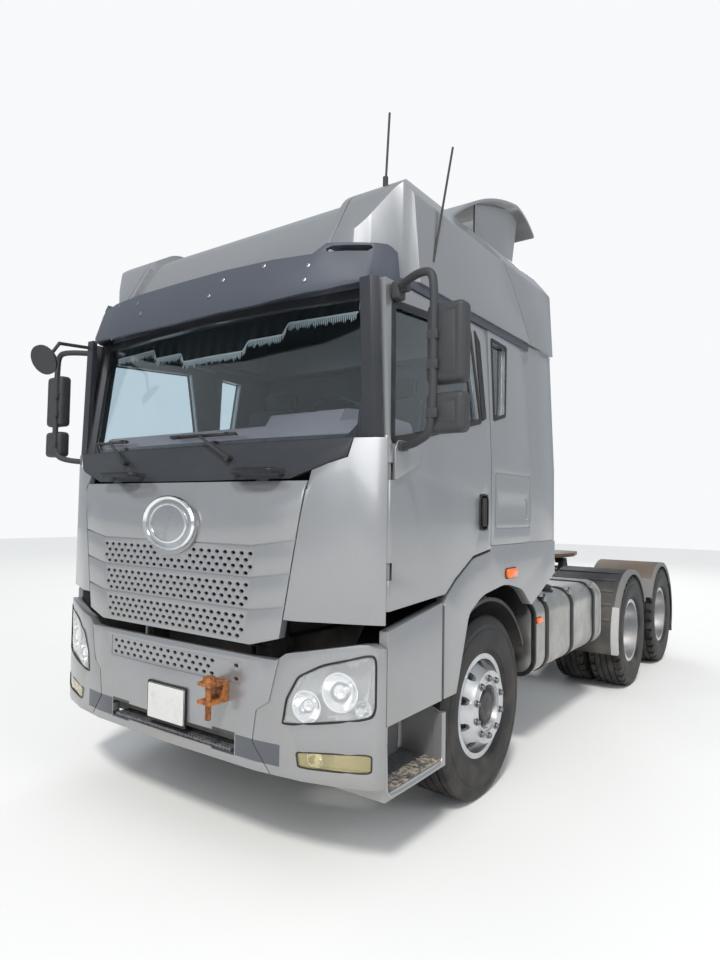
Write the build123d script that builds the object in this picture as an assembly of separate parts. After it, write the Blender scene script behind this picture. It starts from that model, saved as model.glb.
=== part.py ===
from build123d import *
import os
from math import cos, radians, sin, sqrt, tan

# Semi truck tractor unit, 6x4, cab over engine, high roof. Millimetres.
# +X is the vehicle's left, -Y the front, +Z up. Origin: floor, middle of the box.

# Overall
WHEELBASE = 3300.0          # front axle to first driven axle
TANDEM = 1350.0             # first to second driven axle
FRONT_REACH = 1570.0        # front axle to the face of the front-view mirror
REAR_OVERHANG = 850.0       # last axle to the end of the frame
HALF_WIDTH = 1245.0         # cab side plane
MIRROR_REACH = 1640.0       # outermost face of the door mirrors
BOX_LENGTH = FRONT_REACH + WHEELBASE + TANDEM + REAR_OVERHANG
AXLE_1 = FRONT_REACH - BOX_LENGTH / 2
AXLE_2 = AXLE_1 + WHEELBASE
AXLE_3 = AXLE_2 + TANDEM
REAR_END = AXLE_3 + REAR_OVERHANG

# Wheels and tyres
TYRE_R = 538.0
TYRE_W = 312.0
BEAD_R = 286.0
RIM_HALF = 114.0            # half width between the bead flanges
FLANGE_R = 305.0
FLANGE_T = 12.0
BARREL_T = 12.0
HUB_R = 141.0               # wheel's centre bore and hub
STUD_CIRCLE_R = 167.5
DISC_T = 14.0
DRUM_R = 205.0
TRACK_FRONT = 2050.0
TRACK_REAR = 1830.0
DUAL = 350.0                # spacing of twin tyres
HAND_HOLES = 10
HAND_HOLE_R = 24.0
SHAFT_R = 40.0              # front spindle
REAR_SHAFT_R = 60.0
SHAFT_CLEARANCE = 0.1
AXLE_Z = TYRE_R

# Frame
RAIL_OUT = 432.5            # half of the frame's outer width
RAIL_T = 8.0
RAIL_FLANGE = 80.0
RAIL_TOP = 985.0
RAIL_DEPTH = 270.0
RAIL_FRONT = AXLE_1 - 1180.0

# Cab
PANEL_GAP = 7.0             # shut line between moving panels
WALL = 48.0                 # door and side wall thickness
FRONT_Y = AXLE_1 - 1405.0   # foremost face of the cab front
FLAT_HALF = 620.0           # flat middle of the front
SIDE_IN = 1190.0            # inner face of the cab's sides
BELT_Z = 2000.0             # the sides lean in above this
CANT_Z = 2795.0             # top of the doors
CANT_X = 1210.0             # side plane at the top of the doors
BAND_TOP = 2840.0
DOOR_FRONT = AXLE_1 - 1190.0
DOOR_REAR = AXLE_1 - 85.0
CAB_REAR = AXLE_1 + 560.0
FAIRING_REAR = AXLE_1 + 1000.0
SILL_FRONT_Z = 1240.0
FLOOR_HIGH = 1500.0         # floor over the wheels
FLOOR_T = 40.0
ARCH_TOP_Z = FLOOR_HIGH - 0.3
COWL_Z = 1841.0             # lower edge of the black panel at the middle
SCREEN_Z = 2045.0           # lower edge of the windscreen
SCREEN_TOP = 2745.0
SCREEN_HALF = 1070.0
SCREEN_RAKE = 0.146         # set-back for each millimetre of height
SCREEN_Y = AXLE_1 - 1268.0
GLASS_T = 6.0
WALL_INSET = 38.3           # front wall behind the screen's outer face
ROOF_TOP = 3510.0
DEFLECTOR_TOP = 3990.0

# Cab tilt pivot
TILT_Y = AXLE_1 - 1290.0
TILT_Z = 1200.0

# Bumper
BUMPER_Y = AXLE_1 - 1405.0
BUMPER_Z0 = 455.0
BUMPER_TOP = 985.0
BUMPER_CORNER_TOP = 1100.0
BUMPER_T = 45.0
SEAT_GAP = 0.3              # clearance of a piece in its seat

# Steering
KINGPIN_OFFSET = 160.0      # from the tyre's middle
KINGPIN_X = TRACK_FRONT / 2 - KINGPIN_OFFSET
KINGPIN_R = 25.4
FIT = 0.1


def block(x, y, z):
    """Box between the given ranges."""
    size = Box(x[1] - x[0], y[1] - y[0], z[1] - z[0])
    return Pos((x[0] + x[1]) / 2, (y[0] + y[1]) / 2, (z[0] + z[1]) / 2) * size


def prism(points, start, reach):
    """Flat polygon of 3-D points pushed along a vector."""
    moved = [Vector(*p) + Vector(*start) for p in points]
    face = Face(Wire.make_polygon(moved, close=True))
    way = Vector(*reach)
    return extrude(face, amount=way.length, dir=way.normalized())


def prism_x(yz, x0, x1):
    """Side-view polygon pushed from x0 to x1."""
    return prism([(0, y, z) for y, z in yz], (x0, 0, 0), (x1 - x0, 0, 0))


def prism_y(xz, y0, y1):
    """Front-view polygon pushed from y0 to y1."""
    return prism([(x, 0, z) for x, z in xz], (0, y0, 0), (0, y1 - y0, 0))


def prism_z(xy, z0, z1, rake=0.0):
    """Plan polygon pushed from z0 to z1, leaning back by the rake."""
    height = z1 - z0
    return prism([(x, y, 0) for x, y in xy], (0, 0, z0), (0, rake * height, height))


def rounded_face(corners):
    """Flat face through (x, y, z, radius) corners, rounded where the radius isn't 0."""
    face = Face(Wire.make_polygon([Vector(*c[:3]) for c in corners], close=True))
    for x, y, z, radius in corners:
        if radius:
            spot = min(face.vertices(), key=lambda v: (Vector(v.X, v.Y, v.Z) - Vector(x, y, z)).length)
            face = face.fillet_2d(radius, [spot])
    return face


def soft_x(rows, x0, x1):
    """Side-view outline of (y, z, radius) corners pushed from x0 to x1."""
    return extrude(rounded_face([(x0, y, z, r) for y, z, r in rows]), amount=x1 - x0, dir=(1, 0, 0))


def soft_y(rows, y0, y1):
    """Front-view outline of (x, z, radius) corners pushed from y0 to y1."""
    return extrude(rounded_face([(x, y0, z, r) for x, z, r in rows]), amount=y1 - y0, dir=(0, 1, 0))


def soft_z(rows, z0, z1):
    """Plan outline of (x, y, radius) corners pushed from z0 to z1."""
    return extrude(rounded_face([(x, y, z0, r) for x, y, r in rows]), amount=z1 - z0, dir=(0, 0, 1))


def band_points(line, width, across=0):
    """Closed outline of a narrow band along a polyline, widened in one of its two directions."""
    half = width / 2
    if across == 0:
        ends = [(a - half, b) for a, b in line], [(a + half, b) for a, b in line]
    else:
        ends = [(a, b - half) for a, b in line], [(a, b + half) for a, b in line]
    return ends[0] + ends[1][::-1]


def rod(radius, a, b):
    """Round bar from point a to point b."""
    axis = Vector(*b) - Vector(*a)
    plane = Plane(origin=a, z_dir=axis)
    return extrude(plane * Circle(radius), amount=axis.length)


def turned(profile, y=0.0, z=0.0, x=0.0, side=1):
    """Solid of revolution about X from (x, radius) points."""
    face = Face(Wire.make_polygon([Vector(px * side, 0, r) for px, r in profile], close=True))
    return Pos(x, y, z) * revolve(face, Axis.X)


def other_side(shape):
    """Copy mirrored to the vehicle's other side."""
    return mirror(shape, about=Plane.YZ)


def both(shape):
    """The shape and its mirror image."""
    return [shape, other_side(shape)]


def symmetric(half):
    """Closed outline from its left-hand half, middle first; x leads each row."""
    return half + [(-row[0],) + tuple(row[1:]) for row in reversed(half) if row[0] > 0]


BALL_GROW = 1.0             # a bent tube's corner balls stand out by this


def tube(radius, points):
    """Bent round tube with ball corners."""
    body = rod(radius, points[0], points[1])
    for a, b in zip(points[1:], points[2:]):
        body = body + Pos(*a) * Sphere(radius + BALL_GROW) + rod(radius, a, b)
    return body


def save(name, solids):
    """Write one sub-part."""
    if not isinstance(solids, list):
        solids = [solids]
    flat = []
    for item in solids:
        flat.extend(item.solids())
    export_step(Compound(children=flat), f"parts/{name}.step")


def plan_front(inset, rear):
    """Plan of the cab below the windscreen, set in by the inset."""
    # columns: x, y behind the foremost face
    rows = [(0, 0), (FLAT_HALF, 0), (872, 36), (1190, 172), (HALF_WIDTH, 206)]
    half = [(max(x - inset * 0.6, 0), FRONT_Y + back + inset) for x, back in rows]
    half[-1] = (HALF_WIDTH - inset, half[-1][1])
    half.append((HALF_WIDTH - inset, rear))
    return symmetric(half)


def plan_screen(inset, rear):
    """Plan of the windscreen and its pillars at the screen's foot."""
    # columns: x, y behind the screen's middle
    rows = [(0, 0), (560, 14), (SCREEN_HALF, 60), (1215, 66)]
    half = [(max(x - inset * 0.3, 0), SCREEN_Y + back + inset) for x, back in rows]
    half[-1] = (1215 - inset, half[-1][1])
    half.append((1215 - inset, rear))
    return symmetric(half)


def side_section(outer, inner):
    """Cross-section of the left wall, leaning in above the belt."""
    lean = HALF_WIDTH - CANT_X
    return [(outer, 1000), (outer, BELT_Z), (outer - lean, CANT_Z), (outer - lean, 3000),
            (inner - lean, 3000), (inner - lean, CANT_Z), (inner, BELT_Z), (inner, 1000)]


def side_wall(outline, outer=HALF_WIDTH, inner=HALF_WIDTH - WALL):
    """Left wall piece with the given side-view outline."""
    section = prism_y(side_section(outer, inner), AXLE_1 - 1500, AXLE_1 + 1500)
    return section & prism_x(outline, 900, 1400)


# Chassis
def frame_rails():
    """Two C-section rails, open inwards."""
    bottom = RAIL_TOP - RAIL_DEPTH
    inner = RAIL_OUT - RAIL_T
    lip = RAIL_OUT - RAIL_FLANGE
    section = [(RAIL_OUT, bottom), (RAIL_OUT, RAIL_TOP), (lip, RAIL_TOP),
               (lip, RAIL_TOP - RAIL_T), (inner, RAIL_TOP - RAIL_T),
               (inner, bottom + RAIL_T), (lip, bottom + RAIL_T), (lip, bottom)]
    return both(prism_y(section, RAIL_FRONT, REAR_END))


def cross_members():
    """Members between the rails' webs."""
    middle = RAIL_TOP - RAIL_DEPTH / 2
    inner = RAIL_OUT - RAIL_T
    # columns: y of the middle, half depth, half height
    rows = [(AXLE_1 + 1500, 40, 90), (AXLE_2 - 620, 40, 90),
            ((AXLE_2 + AXLE_3) / 2, 70, 110), (AXLE_3 + 600, 40, 90), (REAR_END - 12, 12, 110)]
    return [block((-inner, inner), (y - a, y + a), (middle - h, middle + h)) for y, a, h in rows]


def bumper_plan(inset, rear):
    """Plan of the bumper's outer face."""
    # columns: x, y behind the foremost face
    rows = [(0, 0), (640, 15), (900, 55), (1110, 120), (1195, 160), (1233, 186), (HALF_WIDTH, 214)]
    half = [(max(x - inset * (0.6 if x < 1200 else 0.85), 0), BUMPER_Y + back + inset) for x, back in rows]
    half[-1] = (HALF_WIDTH - inset, half[-1][1])
    half.append((HALF_WIDTH - inset, rear))
    return symmetric(half)


# columns: x, z, corner radius in front view
HEADLAMP = [(786, 692, 30), (806, 815, 120), (868, 925, 90), (985, 988, 120), (1218, 1056, 25), (1218, 768, 35)]
FOGLAMP = [(876, 514, 12), (862, 584, 12), (1206, 612, 20), (1206, 526, 20)]
BUMPER_SLOT = [(-500, 505, 15), (-500, 590, 25), (500, 590, 25), (500, 505, 15)]
BUMPER_REAR = BUMPER_Y + 222.0
LOW_GRILLE = (530.0, 838.0, 952.0)  # half width, lower and upper edge
LOW_LINES = (926.0, 894.0, 862.0)
LOW_COLUMNS = 18
LOW_REACH = 495.0


def shrink(points, by):
    """Polygon moved towards its middle by a clearance."""
    cx = sum(p[0] for p in points) / len(points)
    cz = sum(p[1] for p in points) / len(points)
    out = []
    for x, z, *rest in points:
        reach = sqrt((x - cx) ** 2 + (z - cz) ** 2)
        share = (reach - by) / reach
        out.append((cx + (x - cx) * share, cz + (z - cz) * share) + tuple(rest))
    return out


def front_bumper():
    """Three-piece bumper moulding as one wrapped shell, with its lower grille."""
    top = BUMPER_CORNER_TOP
    shell = prism_z(bumper_plan(0, BUMPER_REAR), BUMPER_Z0, top)
    layer = shell - prism_z(bumper_plan(SEAM_DEPTH, BUMPER_REAR + 10), BUMPER_Z0 - 1, top + 1)
    shell -= prism_z(bumper_plan(BUMPER_T, BUMPER_REAR + 10), BUMPER_Z0 - 1, top + 1)
    upper = symmetric([(0, BUMPER_TOP, 0), (745, BUMPER_TOP, 0), (800, BUMPER_TOP + 38, 40),
                       (1150, top - 8, 0), (1190, top - 6, 30), (1400, top - 90, 0), (1400, top + 50, 0),
                       (0, top + 50, 0)])
    shell -= soft_y(upper, BUMPER_Y - 10, BUMPER_Y + 400)
    # sloped step along the upper edge
    shell -= prism_x([(BUMPER_Y - 10, BUMPER_TOP - 26), (BUMPER_Y + 14, BUMPER_TOP - 14),
                      (BUMPER_Y + 24, BUMPER_TOP + 1), (BUMPER_Y - 10, BUMPER_TOP + 1)], -745, 745)
    for points in (HEADLAMP, FOGLAMP):
        cut = soft_y(points, BUMPER_Y - 10, BUMPER_Y + 290)
        shell = shell - cut - other_side(cut)
    shell -= soft_y(BUMPER_SLOT, BUMPER_Y - 10, BUMPER_Y + 100)
    # columns: x, z along the seam of the bumper's corner
    seam = [(776, BUMPER_TOP + 60), (771, 1032), (713, 788), (640, 739), (618, 587), (737, 440)]
    groove = layer & prism_y(band_points(seam, SEAM_W), BUMPER_Y - 10, BUMPER_Y + 300)
    shell = shell - groove - other_side(groove)
    half, low, high = LOW_GRILLE
    face = BUMPER_Y + SEAM_DEPTH + 12
    shell -= block((-half, half), (BUMPER_Y - 10, BUMPER_Y + BUMPER_T + 20), (low, high))
    holes = staggered(face, LOW_LINES, LOW_REACH, LOW_COLUMNS, lambda x, z: abs(x - CLEVIS_X) > 62)
    shell += perforated(half, low, high, face, LID_GRILLE_T, holes)
    arms = [block((x - 26, x + 26), (BUMPER_Y + BUMPER_T - 5, RAIL_FRONT), (740, 930))
            for x in (26 - RAIL_OUT, RAIL_OUT - 26)]
    return [shell + arms[0] + arms[1]]


def front_lamps():
    """Headlamps and fog lamps in the bumper's pockets, their lenses set back."""
    lamps = []
    for points in (HEADLAMP, FOGLAMP):
        body = prism_z(bumper_plan(4, BUMPER_REAR), BUMPER_Z0, BUMPER_CORNER_TOP)
        body -= prism_z(bumper_plan(BUMPER_T + 40, BUMPER_REAR + 10), BUMPER_Z0 - 1, 1200)
        body &= soft_y(shrink(points, SEAT_GAP), BUMPER_Y - 10, BUMPER_Y + 290)
        lamps.extend(both(body))
    return lamps


CLEVIS_X = 409.0
CLEVIS_Z = 800.0


def tow_shackle():
    """Towing clevis and its pin, screwed into the bumper's face."""
    face = BUMPER_Y + (CLEVIS_X - 45) / 640 * 15 - SEAT_GAP
    ears = block((CLEVIS_X - 45, CLEVIS_X + 45), (face - 120, face), (CLEVIS_Z + 34, CLEVIS_Z + 52))
    ears += block((CLEVIS_X - 45, CLEVIS_X + 45), (face - 120, face), (CLEVIS_Z - 52, CLEVIS_Z - 34))
    ears += block((CLEVIS_X - 45, CLEVIS_X + 45), (face - 30, face), (CLEVIS_Z - 52, CLEVIS_Z + 52))
    pin = rod(16, (CLEVIS_X, face - 88, CLEVIS_Z - 52), (CLEVIS_X, face - 88, CLEVIS_Z + 70))
    pin += rod(15, (CLEVIS_X, face - 88, CLEVIS_Z - 130), (CLEVIS_X, face - 88, CLEVIS_Z - 52))
    pin += rod(30, (CLEVIS_X, face - 88, CLEVIS_Z + 52), (CLEVIS_X, face - 88, CLEVIS_Z + 78))
    return [ears + pin]


def radiator_pack():
    """Radiator and charge cooler between the rail ends."""
    depth = (AXLE_1 - 1130, AXLE_1 - 960)
    low = block((-345, 345), depth, (560, RAIL_TOP))
    return [low + block((-430, 430), depth, (RAIL_TOP, 1130))]


ENGINE_Y = (AXLE_1 - 800.0, AXLE_1 + 380.0)
ENGINE_Z = (580.0, 1180.0)


def engine_block():
    """Engine and gearbox as plain blocks at their real place."""
    engine = block((-330, 330), ENGINE_Y, ENGINE_Z)
    box = block((-230, 230), (ENGINE_Y[1], ENGINE_Y[1] + 850), (620, 1000))
    mounts = block((-RAIL_OUT + RAIL_T, RAIL_OUT - RAIL_T), (AXLE_1 - 300, AXLE_1 - 160), (760, 860))
    mounts += block((-RAIL_OUT + RAIL_T, RAIL_OUT - RAIL_T), (AXLE_1 + 900, AXLE_1 + 1000), (760, 860))
    return [engine + box + mounts]


def tilt_brackets():
    """Cab pivot towers on the rail ends."""
    x0, x1 = RAIL_OUT, RAIL_OUT + 60
    tower = prism_x([(TILT_Y - 45, TILT_Z + 40), (TILT_Y - 45, TILT_Z - 30), (TILT_Y - 5, TILT_Z - 48),
                     (TILT_Y + 150, RAIL_TOP - 5), (TILT_Y + 150, 780), (TILT_Y + 320, 780),
                     (TILT_Y + 320, RAIL_TOP), (TILT_Y + 45, TILT_Z + 40)], x0, x1)
    pin = rod(30, (x0 + 10, TILT_Y, TILT_Z), (x1 + 62, TILT_Y, TILT_Z))
    return both(tower + pin)


SPRING_Z = 640.0


def front_axle():
    """Dropped beam with kingpin bosses, and the tie rod."""
    drop = KINGPIN_X - 105      # half length of the beam's low middle
    beam = block((-drop, drop), (AXLE_1 - 50, AXLE_1 + 50), (420, 530))
    for s in (-1, 1):
        x = s * KINGPIN_X
        start = s * (drop - 60)
        arm = block((min(start, x), max(start, x)), (AXLE_1 - 45, AXLE_1 + 45), (AXLE_Z - 55, AXLE_Z + 55))
        beam += arm + rod(60, (x, AXLE_1, AXLE_Z - 60), (x, AXLE_1, AXLE_Z + 60))
        beam += block((s * 400 - 60, s * 400 + 60), (AXLE_1 - 70, AXLE_1 + 70), (520, SPRING_Z - 40))
    for s in (-1, 1):
        x = s * KINGPIN_X
        beam -= rod(KINGPIN_R + FIT, (x, AXLE_1, AXLE_Z - 70), (x, AXLE_1, AXLE_Z + 70))
    return [beam]


def leaf_pack(x, y, reach, seat_z, eye_z, depth, width):
    """Leaf pack as a shallow V of two straight halves and a flat middle."""
    side = [(y - reach, eye_z), (y - 120, seat_z), (y + 120, seat_z), (y + reach, eye_z)]
    under = [(y + reach, eye_z - depth * 0.45), (y + 120, seat_z - depth),
             (y - 120, seat_z - depth), (y - reach, eye_z - depth * 0.45)]
    return prism_x(side + under, x - width / 2, x + width / 2)


def suspension():
    """Leaf springs, their brackets and the bogie trunnions."""
    bottom = RAIL_TOP - RAIL_DEPTH
    parts = []
    x = RAIL_OUT - 32.5
    front = leaf_pack(x, AXLE_1, 780, SPRING_Z, 700, 40, 80)
    for s in (-1, 1):
        front += block((x - 40, x + 32.5), (AXLE_1 + s * 780 - 50, AXLE_1 + s * 780 + 50), (660, bottom))
    parts += both(front)
    mid = (AXLE_2 + AXLE_3) / 2
    x = RAIL_OUT + 62
    rear = leaf_pack(x, mid, TANDEM / 2 + 60, 800, AXLE_Z + 120, 120, 100)
    rear += block((RAIL_OUT, x + 50), (mid - 90, mid + 90), (640, 860))
    parts += both(rear)
    return parts


def rear_axles():
    """Two driven axle housings with their differentials."""
    parts = []
    end = TRACK_REAR / 2 + 40
    for y in (AXLE_2, AXLE_3):
        tube = rod(64, (-520, y, AXLE_Z), (520, y, AXLE_Z))
        shaft = rod(REAR_SHAFT_R, (-end, y, AXLE_Z), (end, y, AXLE_Z))
        head = rod(215, (-110, y, AXLE_Z), (110, y, AXLE_Z))
        nose = prism_z([(-100, y - 420), (100, y - 420), (150, y), (-150, y)], 470, 660)
        seat = block((-545, -445), (y - 60, y + 60), (AXLE_Z + 30, AXLE_Z + 65.7))
        parts.append(tube + shaft + head + nose + seat + other_side(seat))
    return parts


def prop_shafts():
    """Drive shafts from the gearbox and between the axles."""
    first = rod(45, (0, ENGINE_Y[1] + 854.5, 690), (0, AXLE_2 - 423, 590))
    second = rod(40, (0, AXLE_2 + 215, AXLE_Z + 20), (0, AXLE_3 - 420.6, AXLE_Z + 30))
    return [first, second]


TANK_Y = (AXLE_1 + 730.0, AXLE_1 + 2300.0)
TANK_X = (590.0, 1205.0)
TANK_Z = (560.0, 1105.0)
TANK_CORNER = 130.0
STRAP_W = 60.0
STRAP_T = 8.0


def tank_section(grow=0.0):
    """Rounded tank section, grown outwards by a strap's thickness."""
    w = TANK_X[1] - TANK_X[0] + 2 * grow
    h = TANK_Z[1] - TANK_Z[0] + 2 * grow
    plane = Plane(origin=((TANK_X[0] + TANK_X[1]) / 2, TANK_Y[0], (TANK_Z[0] + TANK_Z[1]) / 2),
                  x_dir=(1, 0, 0), z_dir=(0, 1, 0))
    return plane * RectangleRounded(w, h, TANK_CORNER + grow)


def fuel_tank():
    """Round-cornered aluminium tank with its filler neck."""
    tank = extrude(tank_section(), amount=TANK_Y[1] - TANK_Y[0])
    neck_y = TANK_Y[0] + 330
    tank += rod(55, (980, neck_y, TANK_Z[1] - 20), (980, neck_y, TANK_Z[1] + 45))
    return [tank]


def tank_straps():
    """Three straps and their brackets on the rail."""
    parts = []
    for share in (0.15, 0.5, 0.86):
        y = TANK_Y[0] + share * (TANK_Y[1] - TANK_Y[0]) - STRAP_W / 2
        shift = Pos(0, y - TANK_Y[0], 0)
        band = extrude(shift * tank_section(STRAP_T), amount=STRAP_W)
        band -= extrude(shift * tank_section(), amount=STRAP_W)
        arm = block((RAIL_OUT, TANK_X[0] - STRAP_T + 2), (y, y + STRAP_W), (740, 960))
        parts.append(band + arm)
    return parts


def battery_unit():
    """Battery box, air tanks and exhaust unit on the right side."""
    y = AXLE_1 + 760
    box = block((-1190, -560), (y, y + 560), (540, 1030))
    arms = block((-560, -RAIL_OUT), (y + 60, y + 160), (780, 940))
    arms += block((-560, -RAIL_OUT), (y + 400, y + 500), (780, 940))
    silencer = rod(270, (-880, y + 640, 790), (-880, y + 1330, 790))
    silencer += block((-700, -RAIL_OUT), (y + 800, y + 900), (780, 940))
    return [box + arms, silencer]


GUARD_R = 600.0
GUARD_T = 8.0
GUARD_LIP = 46.0            # lip down over the tyre's edge
GUARD_X = (555.0, HALF_WIDTH)
FLAP_LOW = 272.0


def guard_arc(y, a0, a1):
    """Arched mudguard strip over a wheel, angles in degrees from the rear."""
    def at(r, a):
        return (GUARD_X[0], y + r * cos(radians(a)), AXLE_Z + r * sin(radians(a)))
    outer = ThreePointArc(at(GUARD_R, a0), at(GUARD_R, (a0 + a1) / 2), at(GUARD_R, a1))
    inner = ThreePointArc(at(GUARD_R - GUARD_T, a0), at(GUARD_R - GUARD_T, (a0 + a1) / 2),
                          at(GUARD_R - GUARD_T, a1))
    ends = [Line(outer @ 0, inner @ 0), Line(outer @ 1, inner @ 1)]
    face = Face(Wire([outer, ends[1], inner, ends[0]]))
    sheet = extrude(face, amount=GUARD_X[1] - GUARD_X[0], dir=(1, 0, 0))
    lip_end = GUARD_R - GUARD_LIP
    rim = ThreePointArc(at(lip_end, a0), at(lip_end, (a0 + a1) / 2), at(lip_end, a1))
    sides = [Line(outer @ 0, rim @ 0), Line(outer @ 1, rim @ 1)]
    lip = extrude(Face(Wire([outer, sides[1], rim, sides[0]])), amount=GUARD_T, dir=(1, 0, 0))
    return sheet + Pos(GUARD_X[1] - GUARD_X[0] - GUARD_T, 0, 0) * lip


def mudguards():
    """Arched guards over the driven axles, on tubes from the rails."""
    parts = []
    for y, a0, a1 in ((AXLE_2, 24, 195), (AXLE_3, -20, 156)):
        guard = guard_arc(y, a0, a1)
        if y == AXLE_3:
            end_y, end_z = GUARD_R * cos(radians(a0)), AXLE_Z + GUARD_R * sin(radians(a0))
            guard += block(GUARD_X, (y + end_y - GUARD_T, y + end_y), (FLAP_LOW, end_z + 3))
        tube = block((RAIL_OUT, GUARD_X[0] + 20), (y - 25, y + 25), (RAIL_TOP - 60, RAIL_TOP - 20))
        tube += block((GUARD_X[0], GUARD_X[0] + 20), (y - 25, y + 25),
                      (RAIL_TOP - 60, AXLE_Z + GUARD_R - 5))
        parts += both(guard + tube)
    return parts


STEP_X = (930.0, HALF_WIDTH)


def entry_steps():
    """Side panel and open lower step below each door."""
    y0, y1 = BUMPER_REAR + PANEL_GAP, AXLE_1 - 665
    panel = prism_x([(y0, 723), (y0, 1150), (y1, 1230), (y1, 729)],
                    HALF_WIDTH - 50, HALF_WIDTH)
    shelf = block((960, HALF_WIDTH), (y0, y1), (735, 765))
    tread = block((960, HALF_WIDTH - 8), (y0, y1 + 60), (385, 420))
    front = block((960, HALF_WIDTH - 8), (y0, y0 + 20), (385, 740))
    back = block((1185, HALF_WIDTH - 8), (y1 + 20, y1 + 60), (385, 660))
    inner = block((960, 985), (y0, y1), (385, 740))
    bar = block((RAIL_OUT, 960), (AXLE_1 - 900, AXLE_1 - 840), (735, 790))
    step = panel + shelf + tread + front + back + inner + bar
    return both(step)


FIFTH_Y = AXLE_2 + 420.0
FIFTH_PIVOT_Z = 1165.0
FIFTH_TOP = 1250.0
PIN_THROAT_R = 25.6


def fifth_wheel_base():
    """Deck plate and pivot brackets of the coupling."""
    plate = block((-RAIL_OUT, RAIL_OUT), (FIFTH_Y - 380, FIFTH_Y + 380), (RAIL_TOP, RAIL_TOP + 12))
    for s in (-1, 1):
        x = s * 390
        plate += prism_x([(FIFTH_Y - 120, RAIL_TOP + 5), (FIFTH_Y - 45, FIFTH_PIVOT_Z + 24),
                          (FIFTH_Y + 45, FIFTH_PIVOT_Z + 24), (FIFTH_Y + 120, RAIL_TOP + 5)],
                         x - 30, x + 30)
        plate += rod(20, (s * 340, FIFTH_Y, FIFTH_PIVOT_Z), (s * 380, FIFTH_Y, FIFTH_PIVOT_Z))
    return [plate]


def fifth_wheel_plate():
    """Coupling plate with its throat open to the rear."""
    y = FIFTH_Y
    outline = [(-250, y - 460), (250, y - 460), (480, y - 260), (500, y + 60), (420, y + 420),
               (170, y + 470), (PIN_THROAT_R, y + 40), (PIN_THROAT_R, y), (-PIN_THROAT_R, y),
               (-PIN_THROAT_R, y + 40), (-170, y + 470), (-420, y + 420), (-500, y + 60),
               (-480, y - 260)]
    plate = prism_z(outline, FIFTH_TOP - 40, FIFTH_TOP)
    plate -= rod(PIN_THROAT_R, (0, y, FIFTH_TOP - 60), (0, y, FIFTH_TOP + 5))
    for s in (-1, 1):
        lug = prism_x([(y - 60, FIFTH_TOP - 30), (y - 30, FIFTH_PIVOT_Z - 30),
                       (y + 30, FIFTH_PIVOT_Z - 30), (y + 60, FIFTH_TOP - 30)],
                      s * 335 - 22, s * 335 + 22)
        lug -= rod(20 + FIT, (s * 300, y, FIFTH_PIVOT_Z), (s * 372, y, FIFTH_PIVOT_Z))
        plate += lug
    return [plate]


def tail_lamps():
    """Tail lamps and their bar at the frame's end."""
    bar = block((-900, 900), (REAR_END - 60, REAR_END), (620, 700))
    drops = [block((x - 30, x + 30), (REAR_END - 60, REAR_END), (700, RAIL_TOP - RAIL_DEPTH))
             for x in (-400, 400)]
    lamps = [block((x - 190, x + 190), (REAR_END - 100, REAR_END - 60), (600, 720)) for x in (-950, 950)]
    return [bar + drops[0] + drops[1] + lamps[0] + lamps[1]]


# Cab
DOOR_SILL = [(AXLE_1 - 1190, SILL_FRONT_Z), (AXLE_1 - 635, 1270), (AXLE_1 - 534, 1340),
             (AXLE_1 - 315, 1452), (AXLE_1 - 136, 1476), (DOOR_REAR, ARCH_TOP_Z - 18)]
HINGE_X = HALF_WIDTH - WALL / 2
HINGE_Y = DOOR_FRONT + WALL / 2
HINGE_ZS = (1420.0, 1880.0)
KNUCKLE = 40.0
DOOR_WINDOW = [(AXLE_1 - 1113, 2674), (AXLE_1 - 1150, 2034), (AXLE_1 - 876, 2085),
               (AXLE_1 - 225, 2229), (AXLE_1 - 329, 2728)]
QUARTER_WINDOW = [(AXLE_1 - 20, 2741), (AXLE_1 + 189, 2733), (AXLE_1 + 137, 2303), (AXLE_1 - 20, 2262)]


def cab_floor():
    """Bent floor pan, low in the footwell and high over the wheels."""
    t = 40
    low, high = 1300, 1500
    front = AXLE_1 - 1340
    rows = [(front, low), (AXLE_1 - 620, low), (AXLE_1 - 480, high), (CAB_REAR, high)]
    outline = rows + [(y, z + t) for y, z in reversed(rows)]
    pan = prism_x(outline, -SIDE_IN, SIDE_IN)
    pan &= prism_z(plan_front(40 + SEAT_GAP, CAB_REAR), 1000, 1700)
    pan -= block((-910, 910), (front - 200, AXLE_1 - 1280), (low - 5, low + t + 5))
    x0 = RAIL_OUT + 60 + 5
    lug = prism_x([(TILT_Y - 45, TILT_Z - 45), (TILT_Y + 45, TILT_Z - 45), (TILT_Y + 200, low + 10),
                   (TILT_Y + 55, low + 10), (TILT_Y - 45, TILT_Z + 45)], x0, x0 + 50)
    lug -= rod(30 + FIT, (x0 - 5, TILT_Y, TILT_Z), (x0 + 60, TILT_Y, TILT_Z))
    return [pan + lug + other_side(lug)]


def cab_back_wall():
    """Rear wall of the cab."""
    t = 40
    section = [(-SIDE_IN, 1540), (-SIDE_IN, BELT_Z), (-SIDE_IN + 35, CANT_Z), (SIDE_IN - 35, CANT_Z),
               (SIDE_IN, BELT_Z), (SIDE_IN, 1540)]
    return [prism_y(section, CAB_REAR - t, CAB_REAR)]


HATCH = (AXLE_1 - 20.0, AXLE_1 + 535.0, 1598.0, 1940.0)     # y and z of the side locker's lid


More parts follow.
